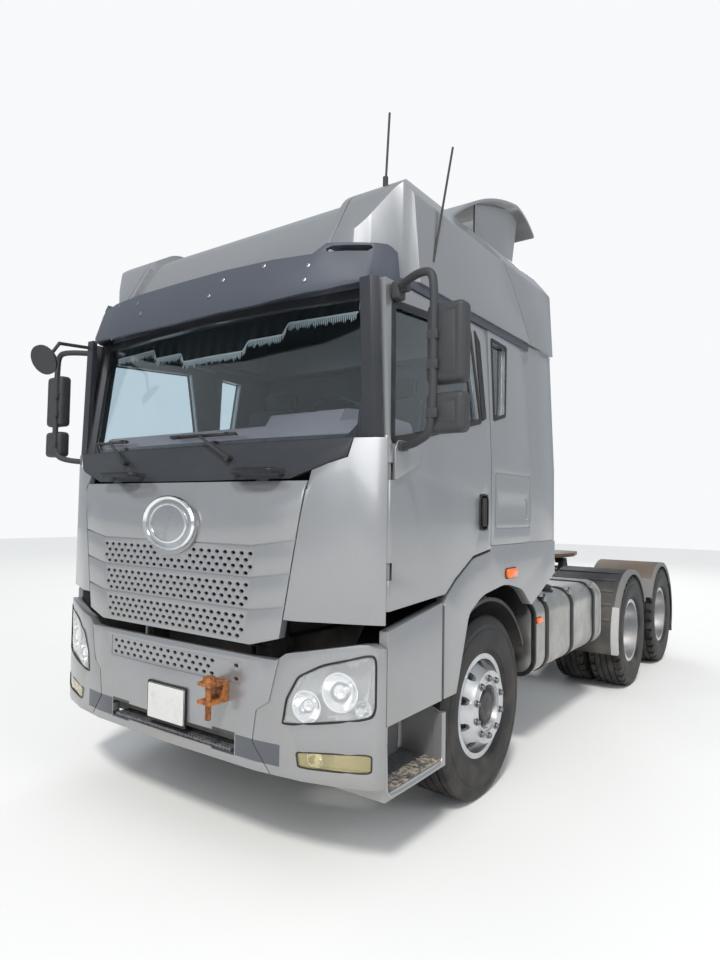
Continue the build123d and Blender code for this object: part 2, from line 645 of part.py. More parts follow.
def cab_sides():
    """Side walls behind the doors, with the quarter windows cut."""
    start = DOOR_REAR + PANEL_GAP
    wall = side_wall([(start, ARCH_TOP_Z + 2), (start, CANT_Z), (CAB_REAR, CANT_Z),
                      (CAB_REAR, ARCH_TOP_Z + 2)], HALF_WIDTH, SIDE_IN)
    wall -= prism_x(QUARTER_WINDOW, 1000, 1400)
    y0, y1, z0, z1 = HATCH
    depth = (HALF_WIDTH - SEAM_DEPTH, HALF_WIDTH + 1)
    outer = soft_x([(y0, z0, 25), (y0, z1, 25), (y1, z1, 25), (y1, z0, 25)], *depth)
    inner = soft_x([(y0 + SEAM_W, z0 + SEAM_W, 18), (y0 + SEAM_W, z1 - SEAM_W, 18),
                    (y1 - SEAM_W, z1 - SEAM_W, 18), (y1 - SEAM_W, z0 + SEAM_W, 18)], *depth)
    panel = soft_x([(y0 + 30, z0 + 45, 20), (y0 + 30, z0 + 190, 40), (y1 - 50, z0 + 190, 40),
                    (y1 - 50, z0 + 45, 20)], *depth)
    return both(wall - (outer - inner) - panel)


def side_fairings():
    """Fairings behind the cab wall."""
    start = CAB_REAR
    fin = side_wall([(start, ARCH_TOP_Z + 2), (start, BAND_TOP - 5), (FAIRING_REAR, BAND_TOP - 5),
                     (FAIRING_REAR, ARCH_TOP_Z + 2)], HALF_WIDTH, HALF_WIDTH - 30)
    return both(fin)


# columns: x, y from the front axle, of the left pillar's two halves at their foot
PILLAR_INNER = [(1073, -1208), (1095, -1228), (1145, -1224), (1145, -1165), (1092, -1150)]
PILLAR_OUTER = [(1125, -1228), (1185, -1228), (1218, -1197), (1125, -1197)]


def pillar():
    """Left windscreen pillar: one half leans with the screen, one with the door."""
    foot = SCREEN_Z - 12
    height = CANT_Z - foot
    inner = prism([(x, AXLE_1 + y, 0) for x, y in PILLAR_INNER], (0, 0, foot),
                  (10, SCREEN_RAKE * height, height))
    outer = prism([(x, AXLE_1 + y, 0) for x, y in PILLAR_OUTER], (0, 0, foot),
                  (CANT_X - HALF_WIDTH, 0, height))
    return inner + outer


def cab_front_frame():
    """Windscreen pillars, header and the wall below the screen."""
    upper = prism_z(plan_screen(0, AXLE_1 - 800), SCREEN_Z - 10, CANT_Z, SCREEN_RAKE)
    upper -= prism_z(plan_screen(60, AXLE_1 - 790), SCREEN_Z - 60, CANT_Z + 60, SCREEN_RAKE)
    upper &= block((-1100, 1100), (AXLE_1 - 1500, AXLE_1 - 1040), (1000, CANT_Z))
    upper -= prism_y(screen_outline(0), AXLE_1 - 1500, AXLE_1 - 900)
    lower = prism_z(plan_screen(WALL_INSET, AXLE_1 - 800), 1340, SCREEN_Z + 20)
    lower -= prism_z(plan_screen(WALL_INSET + 30, AXLE_1 - 790), 1330, SCREEN_Z + 30)
    lower &= block((-1150, 1150), (AXLE_1 - 1500, AXLE_1 - 1120), (1000, CANT_Z))
    posts = pillar()
    frame = upper + lower + posts + other_side(posts)
    for z in HINGE_ZS:
        knuckle = rod(18, (HINGE_X, HINGE_Y, z - KNUCKLE + SEAT_GAP), (HINGE_X, HINGE_Y, z + KNUCKLE - SEAT_GAP))
        leaf = block((1120, HINGE_X), (DOOR_FRONT, DOOR_FRONT + 18), (z - 35, z + 35))
        leaf += block((1120, 1150), (DOOR_FRONT, DOOR_FRONT + 60), (z - 35, z + 35))
        frame += knuckle + leaf + other_side(knuckle + leaf)
    return [frame]


def screen_outline(inset):
    """Front view of the windscreen opening."""
    # columns: x, z
    rows = [(0, SCREEN_Z + inset), (SCREEN_HALF - 60 - inset, SCREEN_Z + inset),
            (SCREEN_HALF - inset, SCREEN_Z + 60 + inset),
            (SCREEN_HALF + 10 - inset, SCREEN_TOP - inset), (0, SCREEN_TOP + 15 - inset)]
    return rows + [(-x, z) for x, z in reversed(rows) if x > 0]


def cab_glass():
    """Windscreen and quarter windows."""
    pane = prism_z(plan_screen(10, AXLE_1 - 900), SCREEN_Z - 60, CANT_Z, SCREEN_RAKE)
    pane -= prism_z(plan_screen(10 + GLASS_T, AXLE_1 - 890), SCREEN_Z - 100, CANT_Z + 40, SCREEN_RAKE)
    pane &= prism_y(screen_outline(SEAT_GAP), AXLE_1 - 1500, AXLE_1 - 1000)
    cx = 1216
    quarter = side_wall(shrink(QUARTER_WINDOW, SEAT_GAP), cx + GLASS_T, cx)
    return [pane] + both(quarter)


LID_TOP = COWL_Z - PANEL_GAP
LID_BOTTOM = 1045.0
LID_HALF = (768.0, 896.0)
LID_RAKE_Z = 1690.0
WING_START = 600.0          # the lid's seams rise outside this
WING_RISE = 45.0


def cowl_outline(grow=0.0):
    """Front view of the black panel below the screen."""
    rows = [(0, COWL_Z - grow), (780, COWL_Z + 5 - grow), (1075 + grow, 1948 - grow),
            (1100 + grow, SCREEN_Z - 12), (0, SCREEN_Z - 12)]
    return rows + [(-x, z) for x, z in reversed(rows) if x > 0]


def lid_outline(grow):
    """Front view of the front lid, its lower edge rising towards the sides."""
    half = [(0, LID_BOTTOM), (WING_START, LID_BOTTOM), (LID_HALF[0] + grow, LID_BOTTOM + 45),
            (LID_HALF[1] + grow, LID_TOP), (0, LID_TOP)]
    return symmetric(half)


def skin(front_inset, thickness, z0, z1, rear):
    """Wrapped skin of the lower cab front, sloped back towards the screen."""
    outer = prism_z(plan_front(front_inset, AXLE_1), z0, z1)
    outer -= block((-1300, 1300), (rear, AXLE_1 + 10), (z0 - 10, z1 + 10))
    inner = prism_z(plan_front(front_inset + thickness, AXLE_1 + 10), z0 - 1, z1 + 1)
    f = FRONT_Y + front_inset
    slope = [(f, 900), (f, LID_RAKE_Z), (f + 62, COWL_Z), (f + 135, SCREEN_Z), (f + 135, 2100),
             (AXLE_1 + 200, 2100), (AXLE_1 + 200, 900)]
    back = [(y + thickness, z) for y, z in slope[:5]] + [(AXLE_1 + 210, 2100), (AXLE_1 + 210, 900)]
    body = outer & prism_x(slope, -1300, 1300)
    core = inner & prism_x(back, -1300, 1300)
    return body - core


def cowl_panel():
    """Black panel that carries the grips and wipers."""
    panel = skin(0, 40, 1800, SCREEN_Z - 12, DOOR_FRONT - PANEL_GAP)
    panel &= prism_y(cowl_outline(), AXLE_1 - 1500, AXLE_1 - 1180)
    # columns: x of the grip's ends
    for x0, x1 in ((-658, -350), (409, 743)):
        y = FRONT_Y + 70
        grip = block((x0, x1), (y - 60, y - 40), (1868, 1893))
        grip += block((x0, x0 + 30), (y - 60, y + 40), (1868, 1893))
        grip += block((x1 - 30, x1), (y - 60, y + 40), (1868, 1893))
        panel += grip
    for x in (-600, 600):
        panel += rod(LID_PIN_R, (x - 40, LID_HINGE_Y, LID_HINGE_Z), (x + 40, LID_HINGE_Y, LID_HINGE_Z))
        panel += block((x - 40, x + 40), (LID_HINGE_Y, LID_HINGE_Y + 3), (LID_HINGE_Z, COWL_Z + 5))
    return [panel]


def corner_panels():
    """Painted corners between the lid and the doors."""
    z0 = 1180
    panel = skin(0, 40, z0, SCREEN_Z - 12, DOOR_FRONT - PANEL_GAP)
    panel -= prism_y(lid_outline(PANEL_GAP) , AXLE_1 - 1500, AXLE_1 - 1180)
    panel -= prism_y(cowl_outline(4), AXLE_1 - 1500, AXLE_1 - 1180)
    panel &= block((LID_HALF[0], 1400), (AXLE_1 - 1500, AXLE_1), (z0 - 10, 2100))
    panel -= block((0, LID_HALF[1] + PANEL_GAP), (AXLE_1 - 1500, AXLE_1 - 1180), (LID_TOP - 40, 1900))
    return both(panel)


LID_HINGE_Y = FRONT_Y + 64.0
LID_HINGE_Z = LID_TOP + PANEL_GAP / 2
LID_PIN_R = 3.0


BADGE = (1594.0, 215.0, 148.0)      # height of its middle, half width, half height
# columns: z of the seam over each grille row, x of its outermost hole
GRILLE_ROWS = [(1519, 590), (1366, 565), (1212, 540)]
LID_COLUMNS = 21
LID_LINES = (39, 71, 103, 135)      # hole lines below each seam
HOLE = (17.0, 9.0)                  # half width and half height of a grille hole
LID_GRILLE_T = 12.0


def hole(x, y, z):
    """Outline of one six-sided grille hole."""
    w, h = HOLE
    rows = [(-w, 0), (h - w, h), (w - h, h), (w, 0), (w - h, -h), (h - w, -h)]
    return Wire.make_polygon([Vector(x + a, y, z + b) for a, b in rows], close=True)


def staggered(y, z_lines, reach, columns, keep):
    """Hole outlines in staggered lines, leaving out those that keep() refuses."""
    pitch = 2 * reach / (columns - 1)
    holes = []
    for line, z in enumerate(z_lines):
        count = columns - line % 2
        for i in range(count):
            x = (i - (count - 1) / 2) * pitch
            if keep(x, z):
                holes.append(hole(x, y, z))
    return holes


def perforated(half, z0, z1, y, thickness, holes):
    """Flat plate with its holes, seated in its window."""
    corners = [(-half, z0), (half, z0), (half, z1), (-half, z1)]
    rim = Wire.make_polygon([Vector(x, y, z) for x, z in corners], close=True)
    return extrude(Face(rim, holes), amount=thickness, dir=(0, 1, 0))


def off_badge(x, z):
    """Whether a hole at this place clears the badge."""
    middle, a, b = BADGE
    return (x / (a + 22)) ** 2 + ((z - middle) / (b + 14)) ** 2 > 1


def front_lid():
    """Front service lid with three perforated grille rows and the plain badge."""
    lid = skin(0, 40, LID_BOTTOM, LID_TOP, DOOR_FRONT)
    lid &= prism_y(lid_outline(0), AXLE_1 - 1500, AXLE_1 - 1180)
    half = FLAT_HALF - 6
    top, low = GRILLE_ROWS[0][0] - 14, LID_BOTTOM + 14
    lid -= block((-half, half), (FRONT_Y - 5, FRONT_Y + 60), (low, top))
    holes = []
    for seam, reach in GRILLE_ROWS:
        holes += staggered(FRONT_Y, [seam - drop for drop in LID_LINES], reach, LID_COLUMNS, off_badge)
    lid += perforated(half, low, top, FRONT_Y, LID_GRILLE_T, holes)
    shell = skin(0, SEAM_DEPTH, LID_BOTTOM - 10, LID_TOP, DOOR_FRONT)
    for seam, reach in GRILLE_ROWS:
        line = [(0, seam), (WING_START, seam), (LID_HALF[1] + 30, seam + WING_RISE)]
        band = band_points(line, SEAM_W, 1)
        cut = shell & prism_y(band, FRONT_Y - 10, FRONT_Y + 200)
        lid = lid - cut - other_side(cut)
    middle, a, b = BADGE
    for share, out in ((1.0, 18), (0.86, 26)):
        oval = [(share * a * cos(radians(10 * i)), middle + share * b * sin(radians(10 * i))) for i in range(36)]
        lid += prism_y(oval, FRONT_Y - out, FRONT_Y + 4)
    return [lid]


def wheel_arches():
    """Cab-mounted arches over the front wheels, their edge drawn in a smooth line."""
    gap = PANEL_GAP
    # columns: y from the front axle, z, corner radius
    rows = [(-650, 735, 0), (-650, 1215, 20), (-620, 1262, 0), (-534, 1332 - gap, 120),
            (-315, 1444 - gap, 200), (-136, 1468 - gap, 0), (-85, 1470, 0),
            (-85 + gap, ARCH_TOP_Z, 0), (FAIRING_REAR - AXLE_1, ARCH_TOP_Z, 0),
            (FAIRING_REAR - AXLE_1, 1270, 0), (550, 1085, 30), (395, 1206, 260), (132, 1261, 500),
            (-194, 1222, 330), (-367, 1138, 110), (-484, 810, 0), (-512, 735, 0)]
    panel = soft_x([(AXLE_1 + y, z, r) for y, z, r in rows], SIDE_IN, HALF_WIDTH + 4)
    return both(panel)


# columns: x, z, corner radius of the roof's left half in front view
ROOF_FRONT = [(CANT_X + 20, BAND_TOP, 0), (CANT_X - 5, 3290, 40), (1085, 3452, 130),
              (930, ROOF_TOP - 10, 200), (0, ROOF_TOP, 0)]
# columns: y from the front axle, z, corner radius of the roof in side view
ROOF_SIDE = [(-1215, BAND_TOP, 0), (-1190, 2960, 60), (-980, 3345, 240), (-810, 3450, 240),
             (200, ROOF_TOP, 0), (720, ROOF_TOP - 15, 150), (935, 3440, 80), (1000, 3350, 40),
             (1000, BAND_TOP, 0)]
# columns: x, y from the front axle, corner radius of the roof's left half in plan
ROOF_PLAN = [(0, -1215, 0), (600, -1190, 0), (1000, -1110, 240), (1180, -960, 240), (1400, -700, 0),
             (1400, 1400, 0)]
CHEEK_X = 800.0             # the roof's middle lies lower between its two cheeks
CHEEK_STEP = 38.0
ROOF_T = 40.0
SEAM_W = 8.0
SEAM_DEPTH = 5.0


def inner_radius(radius, inset):
    """Corner radius of an outline set in by the inset."""
    return max(radius - inset, 8) if radius else 0


def roof_shape(inset):
    """Roof volume as the overlap of its front, side and plan views."""
    front = symmetric([(x - inset if x else 0, z - (inset if z > BAND_TOP else 0), inner_radius(r, inset))
                       for x, z, r in ROOF_FRONT])
    side = []
    for y, z, r in ROOF_SIDE:
        y_in = inset if y < -850 else (-inset if y > 900 else 0)
        z_in = inset if z > 3400 else (inset * 0.5 if z > 3000 else 0)
        side.append((AXLE_1 + y + y_in, z - z_in, inner_radius(r, inset)))
    plan = symmetric([(x - (inset if x > 1100 else 0), AXLE_1 + y + (inset if x < 1100 else 0),
                       inner_radius(r, inset)) for x, y, r in ROOF_PLAN])
    solid = soft_y(front, AXLE_1 - 1600, AXLE_1 + 1200) & soft_x(side, -1500, 1500)
    return solid & soft_z(plan, BAND_TOP, 3700)


def middle_drop(drop, half):
    """Space over the roof's lower middle, down to a depth below the cheeks."""
    rise = drop * 0.85
    rows = [(-1500, 2960, 0), (-1190 + drop * 0.5, 2960, 0), (-980 + drop * 0.5, 3345 - rise, 240),
            (-810 + drop * 0.2, 3450 - rise, 240), (150, ROOF_TOP - drop, 60), (260, 3800, 0), (-1500, 3800, 0)]
    return soft_x([(AXLE_1 + y, z, r) for y, z, r in rows], -half, half)


def cab_roof():
    """High roof as a hollow shell, its middle lower than its cheeks, open below."""
    full = roof_shape(0)
    hollow = roof_shape(ROOF_T) - middle_drop(CHEEK_STEP + ROOF_T, CHEEK_X + ROOF_T)
    hollow -= block((-1500, 1500), (CAB_REAR - ROOF_T, AXLE_1 + 1400), (BAND_TOP - 5, 3300))
    shell = full - hollow - middle_drop(CHEEK_STEP, CHEEK_X)
    shell -= block((-1150, 1150), (CAB_REAR, AXLE_1 + 1100), (BAND_TOP - 5, 3300))
    layer = full - roof_shape(SEAM_DEPTH)
    lines = block((CHEEK_X + 42, CHEEK_X + 42 + SEAM_W), (AXLE_1 - 1300, AXLE_1 + 150), (2960, 3700))
    # columns: y from the front axle, z of the seam before the rear fairing
    seam = [(575, 2830), (417, 3043), (298, 3177), (171, 3290), (100, 3400), (40, 3600)]
    band = band_points([(AXLE_1 + y, z) for y, z in seam], SEAM_W)
    lines += prism_x(band, 1000, 1400)
    lines = layer & lines
    return [shell - lines - other_side(lines)]


def band_outline(grow=0.0):
    """Plan of the dark rail under the roof."""
    return symmetric([(0, AXLE_1 - 1150 - grow), (1000, AXLE_1 - 1120 - grow),
                      (1150 + grow, AXLE_1 - 1060 - grow), (CANT_X + 8 + grow, AXLE_1 - 960),
                      (CANT_X + 8 + grow, CAB_REAR)])


def roof_band():
    """Dark rail between the doors and the roof, round the ceiling."""
    band = prism_z(band_outline(), CANT_Z, BAND_TOP)
    band -= block((-1050, 1050), (AXLE_1 - 1000, CAB_REAR - 60), (CANT_Z - 5, BAND_TOP + 5))
    return [band]


VISOR_T = 22.0
VISOR_BEND = 2790.0         # the visor leans back above this
VISOR_RAKE = 0.337
# columns: x, z of the visor's lower edge, then of its upper edge, in front view
VISOR_LOW = [(0, 2682), (600, 2702), (950, 2747), (1090, 2782), (1140, CANT_Z), (1200, CANT_Z)]
VISOR_HIGH = [(1200, 2935), (1150, 2990), (905, 2996), (850, 2938), (600, 2932), (0, 2920)]
# columns: x, z of the opening in the visor's end
VISOR_SLOT = [(915, 2946), (1085, 2946), (1105, 2963), (1095, 2979), (930, 2979), (905, 2962)]


def visor_plan(inset):
    """Plan of the visor's outer face below its bend."""
    # columns: x, y from the front axle
    rows = [(0, -1455), (350, -1440), (650, -1400), (850, -1343), (1000, -1270), (1110, -1195),
            (1170, -1130), (1195, -1060), (1195, -990)]
    return symmetric([(x - inset if x > 1100 else x, AXLE_1 + y + (inset if y < -1100 else 0))
                      for x, y in rows])


def visor_form(inset, below):
    """Visor's volume set in by the inset, its lower edge moved down."""
    body = prism_z(visor_plan(inset), VISOR_BEND - 150, VISOR_BEND)
    body += prism_z(visor_plan(inset), VISOR_BEND, VISOR_BEND + 230, VISOR_RAKE)
    low = [(x, z - below) for x, z in VISOR_LOW]
    high = [(x - (inset if x > 800 else -inset if x > 700 else 0), z - inset * 0.6) for x, z in VISOR_HIGH]
    return body & prism_y(symmetric(low + high), AXLE_1 - 1600, AXLE_1 - 900)


def sun_visor():
    """Curved dark visor over the windscreen, with an opening through each end."""
    bar = visor_form(0, 0) - visor_form(VISOR_T, 30)
    bar -= block((-1300, 1300), (AXLE_1 - 1040, AXLE_1 - 800), (2600, 3100))
    slot = prism_y(VISOR_SLOT, AXLE_1 - 1500, AXLE_1 - 1100)
    bar = bar - slot - other_side(slot)
    bar -= prism_z(band_outline(SEAT_GAP), CANT_Z - 10, BAND_TOP + 1)
    return [bar - roof_shape(-SEAT_GAP) - pillar() - other_side(pillar())]


DEFLECTOR_T = 22.0
DEFLECTOR_HALF = 1000.0


def deflector_arc(drop):
    """Side view of the blade: a long rise and a short fall behind its top."""
    def at(y, z):
        return Vector(-DEFLECTOR_HALF, AXLE_1 + y, z - drop)
    rise = ThreePointArc(at(-150, ROOF_TOP + 15), at(340, DEFLECTOR_TOP - 165), at(880, DEFLECTOR_TOP))
    fall = ThreePointArc(at(880, DEFLECTOR_TOP), at(1060, DEFLECTOR_TOP - 30), at(1222, DEFLECTOR_TOP - 111))
    return [rise, fall]


def roof_deflector():
    """Curved wind deflector on the roof with its side fins."""
    top = deflector_arc(0)
    under = deflector_arc(DEFLECTOR_T)
    ends = [Line(top[0] @ 0, under[0] @ 0), Line(top[1] @ 1, under[1] @ 1)]
    face = Face(Wire(top + [ends[1]] + under + [ends[0]]))
    blade = extrude(face, amount=2 * DEFLECTOR_HALF, dir=(1, 0, 0))
    fin = prism_x([(AXLE_1 + 330, 3440), (AXLE_1 + 330, DEFLECTOR_TOP - 190),
                   (AXLE_1 + 880, DEFLECTOR_TOP - 12), (AXLE_1 + 1060, DEFLECTOR_TOP - 38),
                   (AXLE_1 + 960, 3560), (AXLE_1 + 880, 3440)], DEFLECTOR_HALF - 90, DEFLECTOR_HALF - 75)
    keep = roof_shape(-SEAT_GAP)
    return [(blade + fin + other_side(fin)) - keep]


def screen_y(x, z):
    """Outer face of the windscreen at a point of the front view."""
    across = 14 * min(abs(x), 560) / 560 + 46 * max(abs(x) - 560, 0) / (SCREEN_HALF - 560)
    return SCREEN_Y + across + SCREEN_RAKE * (z - SCREEN_Z + 10)


WIPER_Z = 1960.0


def wipers():
    """Two wiper arms with their blades, parked."""
    parts = []
    foot = FRONT_Y + 98.5
    # columns: x of the pivot, x of the arm's end, x of the blade's ends
    for px, tip, b0, b1 in ((-560, -820, -1010, -640), (330, 60, -200, 330)):
        z = 2092
        arm = rod(16, (px, foot - 32, WIPER_Z), (px, foot, WIPER_Z))
        arm += rod(9, (px, foot - 24, WIPER_Z), (tip, screen_y(tip, z) - 28, z))
        arm += rod(8, (b0, screen_y(b0, z + 8) - 22, z + 8), (b1, screen_y(b1, z) - 22, z))
        parts.append(arm)
    return parts


DASH_FRONT = AXLE_1 - 1130.0


def dashboard():
    """Dashboard with the driver's hood, and the steering column."""
    y = DASH_FRONT
    body = soft_x([(y, 1340, 0), (y, 2080, 0), (y + 90, 2160, 60), (y + 330, 2150, 40),
                   (y + 390, 1990, 30), (y + 330, 1700, 40), (y + 200, 1340, 0)], -1120, 1120)
    hood = soft_x([(y + 60, 2120, 0), (y + 130, 2222, 40), (y + 330, 2238, 15), (y + 340, 2120, 0)],
                  WHEEL_C.X - 270, WHEEL_C.X + 250)
    column = rod(35, COLUMN_FOOT, COLUMN_TOP)
    return [body + hood + column]


WHEEL_TILT = 40.0
WHEEL_C = Vector(600, AXLE_1 - 650, 2180)
WHEEL_AXIS = Vector(0, sin(radians(WHEEL_TILT)), cos(radians(WHEEL_TILT)))
COLUMN_TOP = tuple(WHEEL_C - WHEEL_AXIS * (58 + SEAT_GAP))
COLUMN_FOOT = tuple(WHEEL_C - WHEEL_AXIS * 300)


STEER_R = 220.0
GRIP_R = 15.0


def steering_wheel():
    """Rim, three spokes and boss on the tilted column."""
    plane = Plane(origin=tuple(WHEEL_C), x_dir=(1, 0, 0), z_dir=tuple(WHEEL_AXIS))
    # eight flat bands round the grip
    ring = [(STEER_R + GRIP_R * cos(radians(a)), 0, GRIP_R * sin(radians(a))) for a in range(0, 360, 45)]
    wheel = revolve(Face(Wire.make_polygon([Vector(*p) for p in ring], close=True)), Axis.Z)
    wheel += Pos(0, 0, -25) * Cylinder(50, 66)
    for a in (90, 210, 330):
        wheel += Rot(0, 0, a) * Pos(STEER_R / 2 + 5, 0, 0) * Box(STEER_R - 30, 36, 14)
    return [plane * wheel]


def seats_and_bunk():
    """Two seats and the sleeping bunk behind them."""
    parts = []
    for x in (-520, 520):
        y = AXLE_1 - 330
        base = block((x - 200, x + 200), (y - 220, y + 200), (1540, 1760))
        cushion = block((x - 250, x + 250), (y - 260, y + 240), (1760, 1880))
        back = prism_x([(y + 170, 1880), (y + 290, 2560), (y + 390, 2560), (y + 300, 1880)], x - 240, x + 240)
        parts.append(base + cushion + back)
    bunk = block((-1100, 1100), (CAB_REAR - 440, CAB_REAR - 40), (1540, 1980))
    return parts + [bunk]


def antennas():
    """Two whip antennas."""
    first = rod(14, (1010, AXLE_1 - 900, 3300), (1010, AXLE_1 - 900, 3440))
    first += rod(6, (1010, AXLE_1 - 900, 3380), (1010, AXLE_1 - 870, 3800))
    second = rod(6, (CANT_X + 12, AXLE_1 - 760, 2990), (CANT_X + 12, AXLE_1 - 560, 3690))
    keep = roof_shape(-SEAT_GAP)
    return [first - keep, second - keep]


HANDLE = (AXLE_1 - 235.0, AXLE_1 - 125.0, 1597.0, 1797.0)   # y and z of the handle's plate


def door_left():
    """Hollow door with its window cut, rounded round the hinge line."""
    start = HINGE_Y
    rear = DOOR_REAR
    edge_top = SCREEN_Z
    lower = [(start, SILL_FRONT_Z)] + DOOR_SILL[1:] + [(rear, CANT_Z - PANEL_GAP),
             (DOOR_FRONT + 3, CANT_Z - PANEL_GAP), (DOOR_FRONT + 3, edge_top), (start, edge_top)]
    door = side_wall(lower)
    door += rod(WALL / 2, (HINGE_X, HINGE_Y, SILL_FRONT_Z), (HINGE_X, HINGE_Y, edge_top))
    door -= prism_x(DOOR_WINDOW, 1000, 1400)
    for z in HINGE_ZS:
        door -= rod(WALL / 2 + 3, (HINGE_X, HINGE_Y, z - KNUCKLE), (HINGE_X, HINGE_Y, z + KNUCKLE))
    # recessed oval plate of the handle and its grip
    y0, y1, z0, z1 = HANDLE
    oval = [(y0, z0, 42), (y0, z1, 42), (y1, z1, 42), (y1, z0, 42)]
    door -= soft_x(oval, HALF_WIDTH - 22, HALF_WIDTH + 1)
    middle = (y0 + y1) / 2
    door += soft_x([(middle - 24, z0 + 22, 20), (middle - 24, z1 - 22, 20), (middle + 24, z1 - 22, 20),
                    (middle + 24, z0 + 22, 20)], HALF_WIDTH - 23, HALF_WIDTH + 6)
    return door


def door_glass():
    """Glass of the left door."""
    cx = 1218
    return side_wall(shrink(DOOR_WINDOW, SEAT_GAP), cx + GLASS_T, cx)


MIRROR_W = 245.0
MIRROR_FRONT = AXLE_1 - 1235.0
MIRROR_DEPTH = 150.0
MIRROR_TUBE_R = 15.0


def mirror_left():
    """Bent mirror tube with its two rounded housings."""
    x0, x1 = MIRROR_REACH - MIRROR_W, MIRROR_REACH
    y0 = MIRROR_FRONT
    foot_z, foot_half = 2744, 30
    lean = (HALF_WIDTH - CANT_X) * (foot_z - foot_half - BELT_Z) / (CANT_Z - BELT_Z)
    foot_x = HALF_WIDTH - lean + SEAT_GAP
    upper = block((x0, x1), (y0, y0 + MIRROR_DEPTH), (2222, 2602))
    lower = block((x0, x1), (y0 + 5, y0 + MIRROR_DEPTH), (2033, 2207))
    body = fillet(upper.edges(), 30) + fillet(lower.edges(), 30)
    bar_x, bar_y = x0 - 8, y0 + 45
    body += tube(MIRROR_TUBE_R, [(foot_x + 16, AXLE_1 - 1146, foot_z), (bar_x - 50, bar_y, foot_z + 12),
                                 (bar_x, bar_y, foot_z - 35), (bar_x, bar_y, 2060),
                                 (bar_x - 35, bar_y, 2015), (HALF_WIDTH + 18, AXLE_1 - 1100, 2006)])
    for z in (2300, 2520, 2085, 2160):
        body += rod(12, (bar_x, bar_y, z), (x0 + 50, bar_y + 10, z))
    body += block((foot_x, foot_x + 22), (AXLE_1 - 1172, AXLE_1 - 1120), (foot_z - foot_half, foot_z + foot_half))
    body += block((HALF_WIDTH + SEAT_GAP, HALF_WIDTH + 24), (AXLE_1 - 1128, AXLE_1 - 1072), (1976, 2036))
    return body


FRONT_MIRROR_R = 95.0
FRONT_MIRROR_X = -1167.0
FRONT_MIRROR_Z = 2617.0


def front_mirror():
    """Round front-view mirror on the right door pillar's bent arm."""
    face = -BOX_LENGTH / 2
    axis = Vector(0.25, -0.85, -0.45).normalized()
    plane = Plane(origin=(FRONT_MIRROR_X, 0, FRONT_MIRROR_Z), z_dir=axis)
    dish = [(0, 0, 0), (FRONT_MIRROR_R, 0, 0), (FRONT_MIRROR_R, 0, -14), (70, 0, -44), (0, 0, -50)]
    head = plane * revolve(Face(Wire.make_polygon([Vector(*p) for p in dish], close=True)), Axis.Z)
    head = Pos(0, face - head.bounding_box().min.Y, 0) * head
    hub = head.center() - axis * 20
    arm = tube(11, [tuple(hub), (FRONT_MIRROR_X + 4, face + 150, 2745), (-1140, AXLE_1 - 1150, 2758)])
    arm = (arm - cab_front_frame()[0]).solids().sort_by(Axis.Y)[0]
    return [head + arm]


# Wheels
def rim_profile():
    """Wheel section: x from the rim's middle towards its disc face, radius."""
    e = RIM_HALF + FLANGE_T
    inner = BEAD_R - BARREL_T
    face = DUAL / 2
    back = face - DISC_T
    return [(e, FLANGE_R), (RIM_HALF, FLANGE_R), (RIM_HALF, BEAD_R), (-RIM_HALF, BEAD_R),
            (-RIM_HALF, FLANGE_R), (-e, FLANGE_R), (-e, inner), (20, inner), (60, inner - 10),
            (back - 18, 214), (back, 206), (back, HUB_R), (face, HUB_R), (face, 210),
            (face - 20, 222), (84, inner), (e, inner)]


def tyre(x, y):
    """Tyre as one closed ring of eight flat bands."""
    w = TYRE_W / 2
    profile = [(RIM_HALF, BEAD_R), (RIM_HALF, FLANGE_R), (w, 410), (w - 8, 490), (w - 36, TYRE_R),
               (36 - w, TYRE_R), (8 - w, 490), (-w, 410), (-RIM_HALF, FLANGE_R), (-RIM_HALF, BEAD_R)]
    return turned(profile, y, AXLE_Z, x)


def front_wheel(side):
    """Front wheel with its hub and brake drum, on the left when side is 1."""
    x = side * TRACK_FRONT / 2
    rim = turned(rim_profile(), AXLE_1, AXLE_Z, x, side)
    bore = SHAFT_R + SHAFT_CLEARANCE
    hub = [(-60, bore), (-60, DRUM_R), (-40, DRUM_R), (-40, 120), (100, 122), (148, HUB_R + 1),
           (168, HUB_R + 1), (168, 128), (120, 118), (120, 84), (146, 74), (146, 0), (125, 0), (125, bore)]
    rim += turned(hub, AXLE_1, AXLE_Z, x, side)
    for i in range(HAND_HOLES):
        a = radians(360 / HAND_HOLES * (i + 0.5))
        y, z = AXLE_1 + 245 * cos(a), AXLE_Z + 245 * sin(a)
        rim -= rod(HAND_HOLE_R, (x, y, z), (x + side * 200, y, z))
    return rim


def rear_wheels(side, y):
    """Twin wheels with hub and drum."""
    x = side * TRACK_REAR / 2
    outer = turned([(DUAL / 2 - px, r) for px, r in rim_profile()], y, AXLE_Z, x, side)
    inner = turned([(-DUAL / 2 + px, r) for px, r in rim_profile()], y, AXLE_Z, x, side)
    bore = REAR_SHAFT_R + SHAFT_CLEARANCE
    hub = [(-190, bore), (-190, DRUM_R), (-30, DRUM_R), (-30, HUB_R + 1), (60, HUB_R + 1), (60, 100),
           (150, 90), (150, 0), (60, 0), (60, bore)]
    return outer + inner + turned(hub, y, AXLE_Z, x, side)


